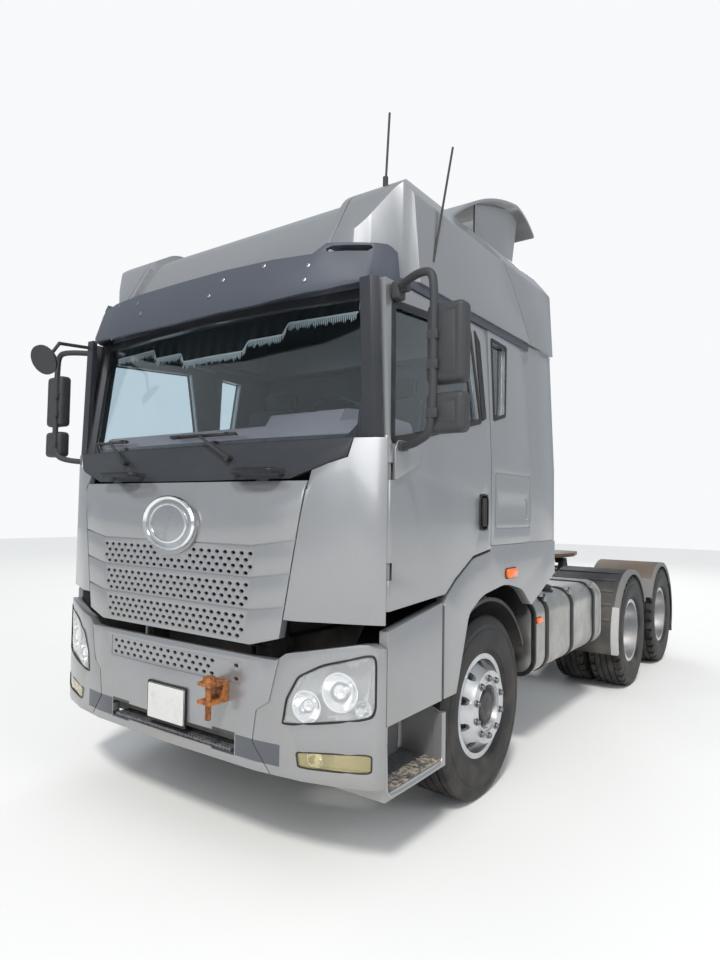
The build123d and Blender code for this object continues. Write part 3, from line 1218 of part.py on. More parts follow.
def knuckle(side):
    """Steering knuckle with its kingpin and spindle."""
    y = AXLE_1
    x = side * KINGPIN_X
    out = side * (KINGPIN_X + 62)
    far = side * (KINGPIN_X + 84)
    body = rod(KINGPIN_R, (x, y, AXLE_Z - 90), (x, y, AXLE_Z + 90))
    for z0, z1 in ((AXLE_Z - 95, AXLE_Z - 60.3), (AXLE_Z + 60.3, AXLE_Z + 95)):
        body += block((min(x - side * 40, far), max(x - side * 40, far)), (y - 45, y + 45), (z0, z1))
    body += block((min(out, far), max(out, far)), (y - 45, y + 45), (AXLE_Z - 95, AXLE_Z + 95))
    body += rod(SHAFT_R, (out, y, AXLE_Z), (side * (TRACK_FRONT / 2 + 120), y, AXLE_Z))
    return [body]


os.makedirs("parts", exist_ok=True)

NODES = [
    ("frame_rails", frame_rails()),
    ("cross_members", cross_members()),
    ("front_bumper", front_bumper()),
    ("front_lamps", front_lamps()),
    ("tow_shackle", tow_shackle()),
    ("radiator_pack", radiator_pack()),
    ("engine_block", engine_block()),
    ("tilt_brackets", tilt_brackets()),
    ("front_axle", front_axle()),
    ("suspension", suspension()),
    ("rear_axles", rear_axles()),
    ("prop_shafts", prop_shafts()),
    ("fuel_tank", fuel_tank()),
    ("tank_straps", tank_straps()),
    ("battery_unit", battery_unit()),
    ("mudguards", mudguards()),
    ("entry_steps", entry_steps()),
    ("fifth_wheel_base", fifth_wheel_base()),
    ("tail_lamps", tail_lamps()),
    ("cab_floor", cab_floor()),
    ("cab_back_wall", cab_back_wall()),
    ("cab_sides", cab_sides()),
    ("side_fairings", side_fairings()),
    ("cab_front_frame", cab_front_frame()),
    ("cab_glass", cab_glass()),
    ("cowl_panel", cowl_panel()),
    ("corner_panels", corner_panels()),
    ("wheel_arches", wheel_arches()),
    ("cab_roof", cab_roof()),
    ("roof_band", roof_band()),
    ("sun_visor", sun_visor()),
    ("roof_deflector", roof_deflector()),
    ("wipers", wipers()),
    ("dashboard", dashboard()),
    ("seats_and_bunk", seats_and_bunk()),
    ("antennas", antennas()),
    ("front_mirror", front_mirror()),
    ("front_lid", front_lid()),
    ("steering_wheel", steering_wheel()),
    ("fifth_wheel_plate", fifth_wheel_plate()),
]
for node, solids in NODES:
    save(node, solids)

door = door_left()
glass = door_glass()
mirror_arm = mirror_left()
save("door_left", door)
save("door_right", other_side(door))
save("door_glass_left", glass)
save("door_glass_right", other_side(glass))
save("mirror_left", mirror_arm)
save("mirror_right", other_side(mirror_arm))
for label, side in (("left", 1), ("right", -1)):
    save(f"knuckle_{label}", knuckle(side))
    save(f"wheel_front_{label}", front_wheel(side))
    save(f"tyre_front_{label}", tyre(side * TRACK_FRONT / 2, AXLE_1))
    for axle, y in (("mid", AXLE_2), ("rear", AXLE_3)):
        save(f"wheels_{axle}_{label}", rear_wheels(side, y))
        pair = [tyre(side * (TRACK_REAR + s * DUAL) / 2, y) for s in (-1, 1)]
        save(f"tyres_{axle}_{label}", pair)
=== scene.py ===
import bpy
import math
from mathutils import Matrix, Vector


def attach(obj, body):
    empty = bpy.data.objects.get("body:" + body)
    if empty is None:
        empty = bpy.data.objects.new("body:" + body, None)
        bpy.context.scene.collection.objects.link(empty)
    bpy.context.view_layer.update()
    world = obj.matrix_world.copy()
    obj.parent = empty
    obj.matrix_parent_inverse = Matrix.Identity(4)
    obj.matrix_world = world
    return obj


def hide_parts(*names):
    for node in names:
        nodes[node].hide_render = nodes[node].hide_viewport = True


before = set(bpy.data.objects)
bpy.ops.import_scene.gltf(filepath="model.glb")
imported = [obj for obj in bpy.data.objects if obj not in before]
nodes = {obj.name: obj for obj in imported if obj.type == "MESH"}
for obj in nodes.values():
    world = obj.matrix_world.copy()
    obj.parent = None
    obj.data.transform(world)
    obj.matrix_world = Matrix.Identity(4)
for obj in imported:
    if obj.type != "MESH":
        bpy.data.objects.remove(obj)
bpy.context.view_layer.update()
print("frame loaded:", len(nodes), "nodes")

# metres; a piece is made with its y measured from the front axle, and endPiece slides it to its place
axle = -1.965             # y of the front axle
axleHeight = 0.538
rearRows = {"mid": 3.3, "rear": 4.65}
slide = Matrix.Translation((0, axle, 0))
mirrorX = Matrix.Scale(-1, 4, (1, 0, 0))
sides = ((1, "left"), (-1, "right"))
crispAngle = math.radians(33)
weldGap = 0.00005

# camera at the photograph's place
cameraView = {"place": (2.890, -5.661, 1.703), "yaw": 35.77, "pitch": 2.55, "roll": 0.9, "lens": 24.68}


def addCamera(view):
    yaw, pitch, roll = (math.radians(view[k]) for k in ("yaw", "pitch", "roll"))
    ahead = Vector((-math.sin(yaw) * math.cos(pitch), math.cos(yaw) * math.cos(pitch), math.sin(pitch)))
    right = ahead.cross(Vector((0, 0, 1))).normalized()
    up = right.cross(ahead)
    turnedRight = right * math.cos(roll) + up * math.sin(roll)
    turnedUp = up * math.cos(roll) - right * math.sin(roll)
    bpy.ops.object.camera_add()
    camera = bpy.context.object
    camera.name = "photoCamera"
    turn = Matrix((turnedRight, turnedUp, -ahead)).transposed().to_4x4()
    camera.matrix_world = Matrix.Translation(view["place"]) @ turn
    camera.data.sensor_fit = "AUTO"
    camera.data.sensor_width = 36
    camera.data.lens = view["lens"]
    camera.data.clip_end = 200
    bpy.context.scene.camera = camera


# nodes of shaders and groups
def setInput(tree, socket, value):
    # a link from another node, or a value, a colour getting its fourth part
    if isinstance(value, bpy.types.NodeSocket):
        tree.links.new(value, socket)
    elif isinstance(value, tuple) and len(socket.default_value) > len(value):
        socket.default_value = (*value, 1)
    else:
        socket.default_value = value


def addNode(tree, kind, **values):
    node = tree.nodes.new(kind)
    for key, value in values.items():
        if key in node.inputs:
            setInput(tree, node.inputs[key], value)
        else:
            setattr(node, key, value)
    return node


def reckon(tree, how, *given, kind="ShaderNodeMath", out=0):
    node = addNode(tree, kind, operation=how)
    for socket, value in zip(node.inputs, given):
        setInput(tree, socket, value)
    return node.outputs[out]


def noiseAt(tree, coords, scale, detail=4.0, rough=0.55):
    noise = addNode(tree, "ShaderNodeTexNoise", Vector=coords, Scale=scale, Detail=detail, Roughness=rough)
    return noise.outputs["Fac"]


def waveAt(tree, coords, scale, way, **values):
    wave = addNode(tree, "ShaderNodeTexWave", Vector=coords, Scale=scale, bands_direction=way, **values)
    return wave.outputs["Fac"]


def mapRange(tree, value, low, high, start=0.0, end=1.0):
    # start where the value is at low, end where it is at high
    node = tree.nodes.new("ShaderNodeMapRange")
    for socket, given in zip(node.inputs, (value, low, high, start, end)):
        setInput(tree, socket, given)
    return node.outputs["Result"]


def blend(tree, mask, under, over, kind="RGBA"):
    # under where the mask is nought, over where it is one
    node = addNode(tree, "ShaderNodeMix", data_type=kind)
    first, out = (6, 2) if kind == "RGBA" else (2, 0)
    for index, value in ((0, mask), (first, under), (first + 1, over)):
        setInput(tree, node.inputs[index], value)
    return node.outputs[out]


groups = {}


def newGroup(name, outputs, **inputs):
    tree = groups[name] = bpy.data.node_groups.new(name, "ShaderNodeTree")
    for label, value in {"Vector": (0, 0, 0), **inputs}.items():
        kind = "NodeSocketVector" if isinstance(value, tuple) else "NodeSocketFloat"
        tree.interface.new_socket(name=label, in_out="INPUT", socket_type=kind).default_value = value
    for label in outputs:
        tree.interface.new_socket(name=label, in_out="OUTPUT", socket_type="NodeSocketFloat")
    return tree, tree.nodes.new("NodeGroupInput").outputs, tree.nodes.new("NodeGroupOutput").inputs


def useGroup(tree, name, coords, **values):
    node = tree.nodes.new("ShaderNodeGroup")
    node.node_tree = groups[name]
    for key, value in {"Vector": coords, **values}.items():
        setInput(tree, node.inputs[key], value)
    return node.outputs


def makeDustGroup():
    # dust that gathers low down, in soft patches
    tree, given, result = newGroup("roadDust", ["Mask"], Amount=0.5, Height=1.2, Scale=3.0)
    height = addNode(tree, "ShaderNodeSeparateXYZ", Vector=given["Vector"]).outputs["Z"]
    low = reckon(tree, "ADD", mapRange(tree, height, given["Height"], 0.0), 0.12)
    patch = mapRange(tree, noiseAt(tree, given["Vector"], given["Scale"], 6, 0.5), 0.38, 0.68)
    mask = reckon(tree, "MULTIPLY", reckon(tree, "MULTIPLY", patch, low), given["Amount"])
    clamped = addNode(tree, "ShaderNodeClamp", Value=mask)
    tree.links.new(clamped.outputs["Result"], result["Mask"])


def makeEdgeGroup():
    # rubbed edges, broken up by noise
    tree, given, result = newGroup("rubbedEdges", ["Mask"], Radius=0.006, Amount=0.6)
    rounded = addNode(tree, "ShaderNodeBevel", samples=4, Radius=given["Radius"]).outputs["Normal"]
    plain = tree.nodes.new("ShaderNodeNewGeometry").outputs["Normal"]
    turned = reckon(tree, "DOT_PRODUCT", rounded, plain, kind="ShaderNodeVectorMath", out="Value")
    patch = mapRange(tree, noiseAt(tree, given["Vector"], 14.0, 6), 0.42, 0.6)
    mask = reckon(tree, "MULTIPLY", mapRange(tree, turned, 0.98, 0.75), patch)
    tree.links.new(reckon(tree, "MULTIPLY", mask, given["Amount"]), result["Mask"])


def makeGrainGroup():
    # moulded grain with a fine and a coarse part
    tree, given, result = newGroup("mouldGrain", ["Height", "Patch"], Scale=400.0)
    tree.links.new(noiseAt(tree, given["Vector"], given["Scale"], 3, 0.5), result["Height"])
    tree.links.new(noiseAt(tree, given["Vector"], 5.0, 5), result["Patch"])


def makeStreakGroup():
    # thin streaks down a wall, from rain and washing
    tree, given, result = newGroup("rainStreaks", ["Mask"], Amount=0.3)
    squeezed = addNode(tree, "ShaderNodeMapping", Vector=given["Vector"], Scale=(9, 9, 0.5)).outputs["Vector"]
    lines = mapRange(tree, noiseAt(tree, squeezed, 3.0, 5, 0.6), 0.52, 0.78)
    tree.links.new(reckon(tree, "MULTIPLY", lines, given["Amount"]), result["Mask"])


def makeBoxGroup():
    # one inside a box given by its middle and half size, else nothing
    tree, given, result = newGroup("insideBox", ["Mask"], Middle=(0, 0, 0), Half=(1, 1, 1))
    far = given["Vector"]
    for how, others in (("SUBTRACT", [given["Middle"]]), ("ABSOLUTE", []), ("SUBTRACT", [given["Half"]])):
        far = reckon(tree, how, far, *others, kind="ShaderNodeVectorMath")
    x, y, z = addNode(tree, "ShaderNodeSeparateXYZ", Vector=far).outputs
    worst = reckon(tree, "MAXIMUM", reckon(tree, "MAXIMUM", x, y), z)
    tree.links.new(reckon(tree, "LESS_THAN", worst, 0.0), result["Mask"])


for makeGroup in (makeDustGroup, makeEdgeGroup, makeGrainGroup, makeStreakGroup, makeBoxGroup):
    makeGroup()

# coloured areas of a finish on both sides: middle with y from the front axle, half size, colour; a few rows
# are painted shade, painted fill light and a painted highlight, each marked by its own comment
areaRows = {
    "doorPaint": [((1.24, -0.180, 1.697), (0.03, 0.058, 0.103), (0.02, 0.02, 0.022))],
    # pillarBlack: lighter grey at the two hinge notches, painted fill light over the shade in the notches
    "pillarBlack": [((1.20, -1.170, 1.42), (0.06, 0.045, 0.075), (0.20, 0.205, 0.21)),
                    ((1.20, -1.170, 1.88), (0.06, 0.045, 0.075), (0.20, 0.205, 0.21))],
    "bumperPaint": [((0.640, -1.36, 0.548), (0.135, 0.06, 0.050), (0.075, 0.08, 0.092)),
                    ((0, -1.30, 0.55), (0.50, 0.097, 0.055), (0.030, 0.032, 0.038))],
    # guardGrey, first row: painted shade, near-black over the top of the guard by the middle axle
    "guardGrey": [((0.80, 3.10, 0.95), (0.40, 0.46, 0.40), (0.022, 0.024, 0.030)),
                  ((0.90, 5.19, 0.55), (0.36, 0.075, 0.30), (0.022, 0.022, 0.023)),
                  # painted shade, near-black on the forward-facing front leg of the guard
                  ((0.82, 2.72, 0.60), (0.38, 0.09, 0.34), (0.022, 0.024, 0.030)),
                  ((0.86, 4.60, 1.08), (0.36, 0.36, 0.20), (0.115, 0.088, 0.068)),
                  # painted highlight, a light grey strip along the guard's outer front edge
                  ((1.22, 2.72, 0.66), (0.035, 0.05, 0.30), (0.46, 0.46, 0.45))],
    "clearLens": [((1.03, -1.27, 0.56), (0.19, 0.12, 0.06), (0.78, 0.68, 0.36))],
    "stepTread": [((1.185, -0.88, 0.42), (0.06, 0.25, 0.03), (0.42, 0.36, 0.28))],
}


def markAreas(tree, coords, base, name):
    # the finish with its coloured areas laid over it, and a mask of them; some areas are painted shade,
    # painted fill light and a painted highlight
    marked = 0.0
    for (x, y, z), half, colour in areaRows.get(name, []):
        for side, label in sides:
            mask = useGroup(tree, "insideBox", coords, Middle=(side * x, axle + y, z), Half=half)["Mask"]
            base = blend(tree, mask, base, colour)
            marked = reckon(tree, "MAXIMUM", mask, marked)
    return base, marked


# materials
finish = {}


def newMaterial(key, name, constants):
    material = finish[key] = bpy.data.materials.new(name)
    material.use_nodes = True
    tree = material.node_tree
    shader = tree.nodes["Principled BSDF"].inputs
    for label, value in {"Coat Roughness": 0.05, **constants}.items():
        shader[label].default_value = value
    return tree, shader, tree.nodes.new("ShaderNodeTexCoord").outputs["Object"]


def dress(tree, shader, colour, rough, height=None, strength=0.0, depth=0.0):
    tree.links.new(colour, shader["Base Color"])
    tree.links.new(rough, shader["Roughness"])
    if height:
        bump = addNode(tree, "ShaderNodeBump", Strength=strength, Distance=depth, Height=height)
        tree.links.new(bump.outputs["Normal"], shader["Normal"])


def dustyRough(tree, patch, polish, dust, dustRough):
    # roughness from a patchy polish, rising to the dust's own
    return blend(tree, dust, mapRange(tree, patch, 0, 1, *polish), dustRough, "FLOAT")


paintLook = {"colour": (0.335, 0.340, 0.352), "deep": (0.265, 0.270, 0.283), "dust": (0.30, 0.265, 0.215),
             "metal": 0.6, "coat": 0.6}


def makePaint(key, name, dustAmount=0.45, dustHeight=1.4):
    # metallic paint: fine flake under a clear coat, dusty low down
    look = paintLook
    tree, shader, coords = newMaterial(key, name, {"Metallic": look["metal"], "Coat Weight": look["coat"],
                                                   "Coat Roughness": 0.08})
    flake = noiseAt(tree, coords, 900.0, 1)
    base = blend(tree, mapRange(tree, flake, 0.35, 0.65), look["deep"], look["colour"])
    streak = useGroup(tree, "rainStreaks", coords, Amount=0.10)["Mask"]
    dust = useGroup(tree, "roadDust", coords, Amount=dustAmount, Height=dustHeight)["Mask"]
    for mask in (streak, dust):
        base = blend(tree, mask, base, look["dust"])
    if name in areaRows:
        base, marked = markAreas(tree, coords, base, name)
        for label, value in (("Metallic", look["metal"]), ("Coat Weight", look["coat"])):
            tree.links.new(mapRange(tree, marked, 0, 1, value, 0.0), shader[label])
    patch = useGroup(tree, "mouldGrain", coords)["Patch"]
    dress(tree, shader, base, dustyRough(tree, patch, (0.27, 0.37), dust, 0.75), flake, 0.04, 0.0004)


def makePlastic(key, name, colour, worn, polish, grain, dustAmount, dustHeight=1.2, edge=0.5):
    # moulded plastic: grain, rubbed edges, dust and its coloured areas, among them painted shade, painted
    # fill light and a painted highlight
    tree, shader, coords = newMaterial(key, name, {"Specular IOR Level": 0.28})
    mould = useGroup(tree, "mouldGrain", coords, Scale=grain)
    rubbed = useGroup(tree, "rubbedEdges", coords, Amount=edge)["Mask"]
    base = markAreas(tree, coords, blend(tree, rubbed, colour, worn), name)[0]
    dust = useGroup(tree, "roadDust", coords, Amount=dustAmount, Height=dustHeight)["Mask"]
    dress(tree, shader, blend(tree, dust, base, (0.30, 0.265, 0.22)),
          dustyRough(tree, mould["Patch"], polish, dust, 0.85), mould["Height"], 0.25, 0.0006)


def makeMetal(key, name, colour, stain, polish, dustAmount, dustHeight, brushed=None):
    # bare or plated metal with stains, and brushing along one axis if asked
    tree, shader, coords = newMaterial(key, name, {})
    patch = mapRange(tree, noiseAt(tree, coords, 6.0, 7, 0.6), 0.45, 0.75)
    dust = useGroup(tree, "roadDust", coords, Amount=dustAmount, Height=dustHeight, Scale=5.0)["Mask"]
    base = blend(tree, dust, blend(tree, patch, colour, stain), (0.30, 0.27, 0.23))
    tree.links.new(mapRange(tree, dust, 0, 1, 1.0, 0.2), shader["Metallic"])
    relief = (noiseAt(tree, coords, 120.0, 3), 0.06, 0.0006)
    if brushed:
        squeezed = addNode(tree, "ShaderNodeMapping", Vector=coords, Scale=brushed).outputs["Vector"]
        relief = (noiseAt(tree, squeezed, 60.0, 3), 0.18, 0.0008)
    dress(tree, shader, base, dustyRough(tree, patch, polish, dust, 0.7), *relief)


def makeRubber(key, name, dustAmount, dustHeight):
    tree, shader, coords = newMaterial(key, name, {"Specular IOR Level": 0.25})
    mould = useGroup(tree, "mouldGrain", coords, Scale=260.0)
    dust = useGroup(tree, "roadDust", coords, Amount=dustAmount, Height=dustHeight, Scale=7.0)["Mask"]
    dress(tree, shader, blend(tree, dust, (0.016, 0.016, 0.018), (0.105, 0.094, 0.080)),
          dustyRough(tree, mould["Patch"], (0.42, 0.62), dust, 0.9), mould["Height"], 0.2, 0.0008)


def makeGlass(key, name, colour):
    # thin glazing, with a faint film of dust
    tree, shader, coords = newMaterial(key, name, {"IOR": 1.45, "Transmission Weight": 1.0})
    film = mapRange(tree, noiseAt(tree, coords, 2.2, 6, 0.65), 0.45, 0.85)
    dress(tree, shader, blend(tree, film, colour, tuple(0.92 * c + 0.04 for c in colour)),
          mapRange(tree, film, 0, 1, 0.01, 0.05))


def makeLens(key, name, colour, ribs=0.0):
    tree, shader, coords = newMaterial(key, name, {"IOR": 1.49, "Transmission Weight": 0.75,
                                                   "Coat Weight": 0.6})
    film = mapRange(tree, noiseAt(tree, coords, 9.0, 6, 0.7), 0.4, 0.8)
    plain = blend(tree, film, colour, tuple(0.7 * c + 0.2 for c in colour))
    relief = (waveAt(tree, coords, ribs, "X"), 0.4, 0.002) if ribs else ()
    base = markAreas(tree, coords, plain, name)[0]
    dress(tree, shader, base, mapRange(tree, film, 0, 1, 0.03, 0.16), *relief)


def makeCloth(key, name, colour, thread, threads):
    tree, shader, coords = newMaterial(key, name, {"Sheen Weight": 0.4})
    waves = [waveAt(tree, coords, threads, way, Distortion=0.6, Detail=2.0) for way in "ZX"]
    weave = reckon(tree, "MULTIPLY", *waves)
    dress(tree, shader, blend(tree, weave, colour, thread),
          mapRange(tree, noiseAt(tree, coords, 8.0), 0, 1, 0.8, 0.95), weave, 0.3, 0.001)


def makeRust(key, name):
    # old orange paint over rust
    tree, shader, coords = newMaterial(key, name, {})
    blotch = mapRange(tree, noiseAt(tree, coords, 38.0, 8, 0.65), 0.42, 0.6)
    dress(tree, shader, blend(tree, blotch, (0.36, 0.125, 0.025), (0.12, 0.045, 0.018)),
          mapRange(tree, blotch, 0, 1, 0.55, 0.9), noiseAt(tree, coords, 150.0, 6, 0.7), 0.5, 0.002)


def makeTread(key, name):
    # dark step plate with round studs, gravel dust, and sand at the lower step's edge
    tree, shader, coords = newMaterial(key, name, {})
    cells = addNode(tree, "ShaderNodeTexVoronoi", Vector=coords, Scale=42.0, Randomness=0.25)
    studs = mapRange(tree, cells.outputs["Distance"], 0.30, 0.36)
    grit = mapRange(tree, noiseAt(tree, coords, 60.0, 6, 0.7), 0.55, 0.70)
    sand = mapRange(tree, noiseAt(tree, coords, 30.0, 8, 0.75), 0.47, 0.54)
    studded = blend(tree, studs, (0.012, 0.012, 0.013), (0.085, 0.088, 0.095))
    plain = blend(tree, grit, studded, (0.22, 0.20, 0.17))
    sandy = markAreas(tree, coords, plain, name)[0]
    dress(tree, shader, blend(tree, sand, plain, sandy), mapRange(tree, grit, 0, 1, 0.5, 0.85),
          studs, 0.8, 0.004)


def makePlain(key, name, colour, spot, rough, metal=0.0, coat=0.0, scale=12.0):
    # smooth finish with faint stains
    tree, shader, coords = newMaterial(key, name, {"Metallic": metal, "Coat Weight": coat,
                                                   "Specular IOR Level": 0.3})
    stain = mapRange(tree, noiseAt(tree, coords, scale, 7, 0.65), 0.50, 0.80)
    dress(tree, shader, blend(tree, stain, colour, spot), mapRange(tree, stain, 0, 1, rough, rough + 0.22),
          noiseAt(tree, coords, 220.0, 3), 0.05, 0.0004)


# plastics: name, colour, worn edges, roughness, grain, dust and the height it reaches, share of edges rubbed
plastics = {
    "chassis": ("chassisBlack", (0.022, 0.022, 0.024), (0.12, 0.10, 0.085), (0.42, 0.6), 180.0, 1.0, 1.3),
    "cowl": ("cowlBlack", (0.028, 0.031, 0.038), (0.12, 0.12, 0.13), (0.30, 0.42), 380.0, 0.2),
    "pillar": ("pillarBlack", (0.028, 0.031, 0.038), (0.12, 0.12, 0.13), (0.30, 0.42), 380.0, 0.2),
    "visor": ("visorSlate", (0.060, 0.068, 0.088), (0.19, 0.20, 0.22), (0.42, 0.56), 420.0, 0.1),
    "housing": ("mirrorGrey", (0.040, 0.041, 0.045), (0.075, 0.075, 0.08), (0.45, 0.6), 600.0, 0.1),
    "guard": ("guardGrey", (0.15, 0.15, 0.152), (0.30, 0.28, 0.26), (0.5, 0.7), 250.0, 0.45, 1.3),
    "dark": ("darkPlastic", (0.026, 0.026, 0.029), (0.065, 0.062, 0.058), (0.45, 0.6), 500.0, 0.6, 1.3),
    "dash": ("dashMauve", (0.34, 0.28, 0.31), (0.42, 0.37, 0.38), (0.55, 0.7), 700.0, 0.0),
    "inside": ("liningGrey", (0.30, 0.29, 0.29), (0.36, 0.35, 0.34), (0.7, 0.85), 600.0, 0.0, 1.2, 0.1),
    "fins": ("radiatorFins", (0.03, 0.03, 0.032), (0.1, 0.1, 0.1), (0.5, 0.7), 900.0, 0.7),
    "engine": ("engineGrey", (0.12, 0.125, 0.13), (0.2, 0.16, 0.12), (0.5, 0.7), 90.0, 0.9, 1.4),
}
# metals: name, colour, stain, roughness, dust and the height it reaches, scale of the brushing
metals = {
    "tank": ("tankAluminium", (0.43, 0.43, 0.425), (0.36, 0.34, 0.305), (0.28, 0.42), 1.3, 1.15, (1, 14, 1)),
    "wheel": ("wheelAluminium", (0.60, 0.61, 0.63), (0.50, 0.49, 0.48), (0.30, 0.42), 0.25, 1.0),
    "grease": ("greasedSteel", (0.12, 0.10, 0.085), (0.22, 0.12, 0.06), (0.35, 0.6), 0.3, 1.4),
}
# plain finishes: name, colour, stain, roughness, metal, coat, scale of the stains
plains = {
    "amberCap": ("amberCap", (0.86, 0.15, 0.012), (0.70, 0.11, 0.012), 0.18, 0.0, 0.6, 70.0),
    "chrome": ("badgeChrome", (0.86, 0.87, 0.88), (0.60, 0.59, 0.57), 0.10, 1.0),
    "badgeFace": ("badgeFace", (0.42, 0.43, 0.45), (0.30, 0.29, 0.28), 0.28, 0.9, 0.4),
    "bowl": ("lampBowl", (0.90, 0.91, 0.93), (0.72, 0.73, 0.75), 0.12, 1.0),
    "white": ("plateWhite", (0.56, 0.56, 0.55), (0.44, 0.42, 0.38), 0.45, 0.0, 0.2),
    "mirrorGlass": ("mirrorGlass", (0.88, 0.90, 0.92), (0.75, 0.76, 0.77), 0.03, 1.0, 0.0, 3.0),
    "gasket": ("rubberSeal", (0.015, 0.015, 0.016), (0.05, 0.048, 0.045), 0.42),
    "screw": ("zincScrew", (0.32, 0.33, 0.35), (0.18, 0.15, 0.12), 0.34, 1.0, 0.0, 90.0),
    "nut": ("nutSteel", (0.20, 0.205, 0.215), (0.14, 0.12, 0.10), 0.32, 1.0, 0.0, 60.0),
    "hubGrey": ("hubPaint", (0.055, 0.055, 0.06), (0.16, 0.12, 0.09), 0.45, 0.3, 0.0, 20.0),
}
# cloths: name, colour, thread, threads
cloths = {
    "cloth": ("coverCloth", (0.035, 0.035, 0.042), (0.09, 0.09, 0.1), 900.0 / 6),
    "fringe": ("fringeYarn", (0.88, 0.89, 0.90), (0.97, 0.97, 0.97), 1500.0 / 6),
    "valance": ("valanceCloth", (0.008, 0.008, 0.010), (0.045, 0.045, 0.05), 700.0 / 6),
    "mattress": ("bunkCloth", (0.12, 0.115, 0.13), (0.22, 0.21, 0.23), 800.0 / 6),
}
looks = {
    makePaint: {"paint": ["silverPaint"], "doorPaint": ["doorPaint"],
                "bumperPaint": ("bumperPaint", 0.6, 1.0)},
    makePlastic: plastics, makeMetal: metals, makePlain: plains, makeCloth: cloths,
    makeRubber: {"rubber": ("tyreRubber", 0.6, 1.2), "strap": ("strapRubber", 0.5, 1.3)},
    makeGlass: {"glass": ("cabGlass", (0.72, 0.82, 0.87))},
    makeLens: {"lens": ("clearLens", (0.93, 0.95, 0.96)), "redLens": ("redLens", (0.50, 0.02, 0.015), 120.0)},
    makeRust: {"rust": ["orangeRust"]}, makeTread: {"tread": ["stepTread"]},
}
for makeLook, rows in looks.items():
    for key, row in rows.items():
        makeLook(key, *row)
print("materials made:", len(finish))

nodeFinish = {
    "chassis": "frame_rails cross_members tilt_brackets front_axle suspension rear_axles prop_shafts "
               "fifth_wheel_base cab_floor knuckle_left knuckle_right",
    "paint": "entry_steps cab_back_wall cab_sides side_fairings corner_panels wheel_arches cab_roof "
             "roof_deflector front_lid",
    "doorPaint": "door_left door_right", "bumperPaint": "front_bumper", "lens": "front_lamps",
    "rust": "tow_shackle", "fins": "radiator_pack", "engine": "engine_block", "tank": "fuel_tank",
    "strap": "tank_straps", "guard": "mudguards", "pillar": "cab_front_frame", "cowl": "cowl_panel",
    "visor": "roof_band sun_visor", "dash": "dashboard", "cloth": "seats_and_bunk",
    "dark": "battery_unit tail_lamps wipers antennas steering_wheel", "grease": "fifth_wheel_plate",
    "glass": "cab_glass door_glass_left door_glass_right", "housing": "front_mirror mirror_left mirror_right",
    "wheel": "wheel_front_left wheel_front_right wheels_mid_left wheels_mid_right wheels_rear_left "
             "wheels_rear_right",
    "rubber": "tyre_front_left tyre_front_right tyres_mid_left tyres_mid_right tyres_rear_left "
              "tyres_rear_right",
}


def setMaterial(piece, material):
    piece.data.materials.clear()
    piece.data.materials.append(material)


for key, names in nodeFinish.items():
    for name in names.split():
        setMaterial(nodes[name], finish[key])
print("finishes placed on the frame")


# soft shading on the frame's own nodes
def makeSmoother():
    # smooth shading, with the sharper edges kept crisp
    tree = bpy.data.node_groups.new("smoothShading", "GeometryNodeTree")
    for way in ("INPUT", "OUTPUT"):
        tree.interface.new_socket(name="Geometry", in_out=way, socket_type="NodeSocketGeometry")
    shape = tree.nodes.new("NodeGroupInput").outputs[0]
    angle = tree.nodes.new("GeometryNodeInputMeshEdgeAngle").outputs["Unsigned Angle"]
    sharp = addNode(tree, "FunctionNodeCompare", operation="GREATER_THAN", A=angle, B=crispAngle)
    faces = addNode(tree, "GeometryNodeSetShadeSmooth", Geometry=shape)
    edges = tree.nodes.new("GeometryNodeSetShadeSmooth")
    edges.domain = "EDGE"
    edges.inputs["Shade Smooth"].default_value = False
    tree.links.new(sharp.outputs[0], edges.inputs["Selection"])
    tree.links.new(faces.outputs[0], edges.inputs["Geometry"])
    tree.links.new(edges.outputs[0], tree.nodes.new("NodeGroupOutput").inputs[0])
    return tree


edgeWidths = {       # how wide the edges of some nodes are rounded
    0.0015: "front_lid",
    0.002: "mudguards tow_shackle tank_straps",
    0.003: "door_left door_right cab_sides frame_rails cross_members",
    0.004: "cowl_panel wheel_arches roof_band front_lamps fuel_tank fifth_wheel_plate fifth_wheel_base "
           "cab_back_wall",
    0.005: "cab_front_frame entry_steps",
    0.006: "front_bumper side_fairings roof_deflector battery_unit",
    0.007: "corner_panels sun_visor",
    0.010: "cab_roof dashboard",
}


def addBevel(piece, width, angle):
    bevel = piece.modifiers.new("softEdges", "BEVEL")
    bevel.width = width
    bevel.segments = 2
    bevel.limit_method = "ANGLE"
    bevel.angle_limit = angle


def softenNodes():
    smoother = makeSmoother()
    softEdge = {name: width for width, names in edgeWidths.items() for name in names.split()}
    for name, node in nodes.items():
        node.modifiers.new("weld", "WELD").merge_threshold = weldGap
        if name in softEdge:
            addBevel(node, softEdge[name], crispAngle)
        node.modifiers.new("smoothShading", "NODES").node_group = smoother


softenNodes()
print("edges softened")


# making by hand
def clearPick():
    bpy.ops.object.select_all(action="DESELECT")


def pickOnly(piece):
    clearPick()
    piece.select_set(True)
    bpy.context.view_layer.objects.active = piece


def startEdit():
    bpy.ops.object.mode_set(mode="EDIT")
    bpy.ops.mesh.select_all(action="SELECT")


def endEdit():
    bpy.ops.object.mode_set(mode="OBJECT")


def closeMesh():
    bpy.ops.mesh.select_all(action="SELECT")
    bpy.ops.mesh.remove_doubles(threshold=weldGap)
    bpy.ops.mesh.normals_make_consistent(inside=False)
    endEdit()


def addRing(name, points):
    # a circle whose corners are put at the given places
    clearPick()
    bpy.ops.mesh.primitive_circle_add(vertices=len(points), location=(0, 0, 0))
    ring = bpy.context.object
    ring.name = name
    for corner, place in zip(ring.data.vertices, points):
        corner.co = place
    startEdit()
    return ring


def fillRing(corner, segments=4):
    if corner:
        bpy.ops.mesh.bevel(offset=corner, segments=segments, affect="VERTICES")
    bpy.ops.mesh.edge_face_add()


def pushOut(push):
    bpy.ops.mesh.extrude_region_move(TRANSFORM_OT_translate={"value": push})


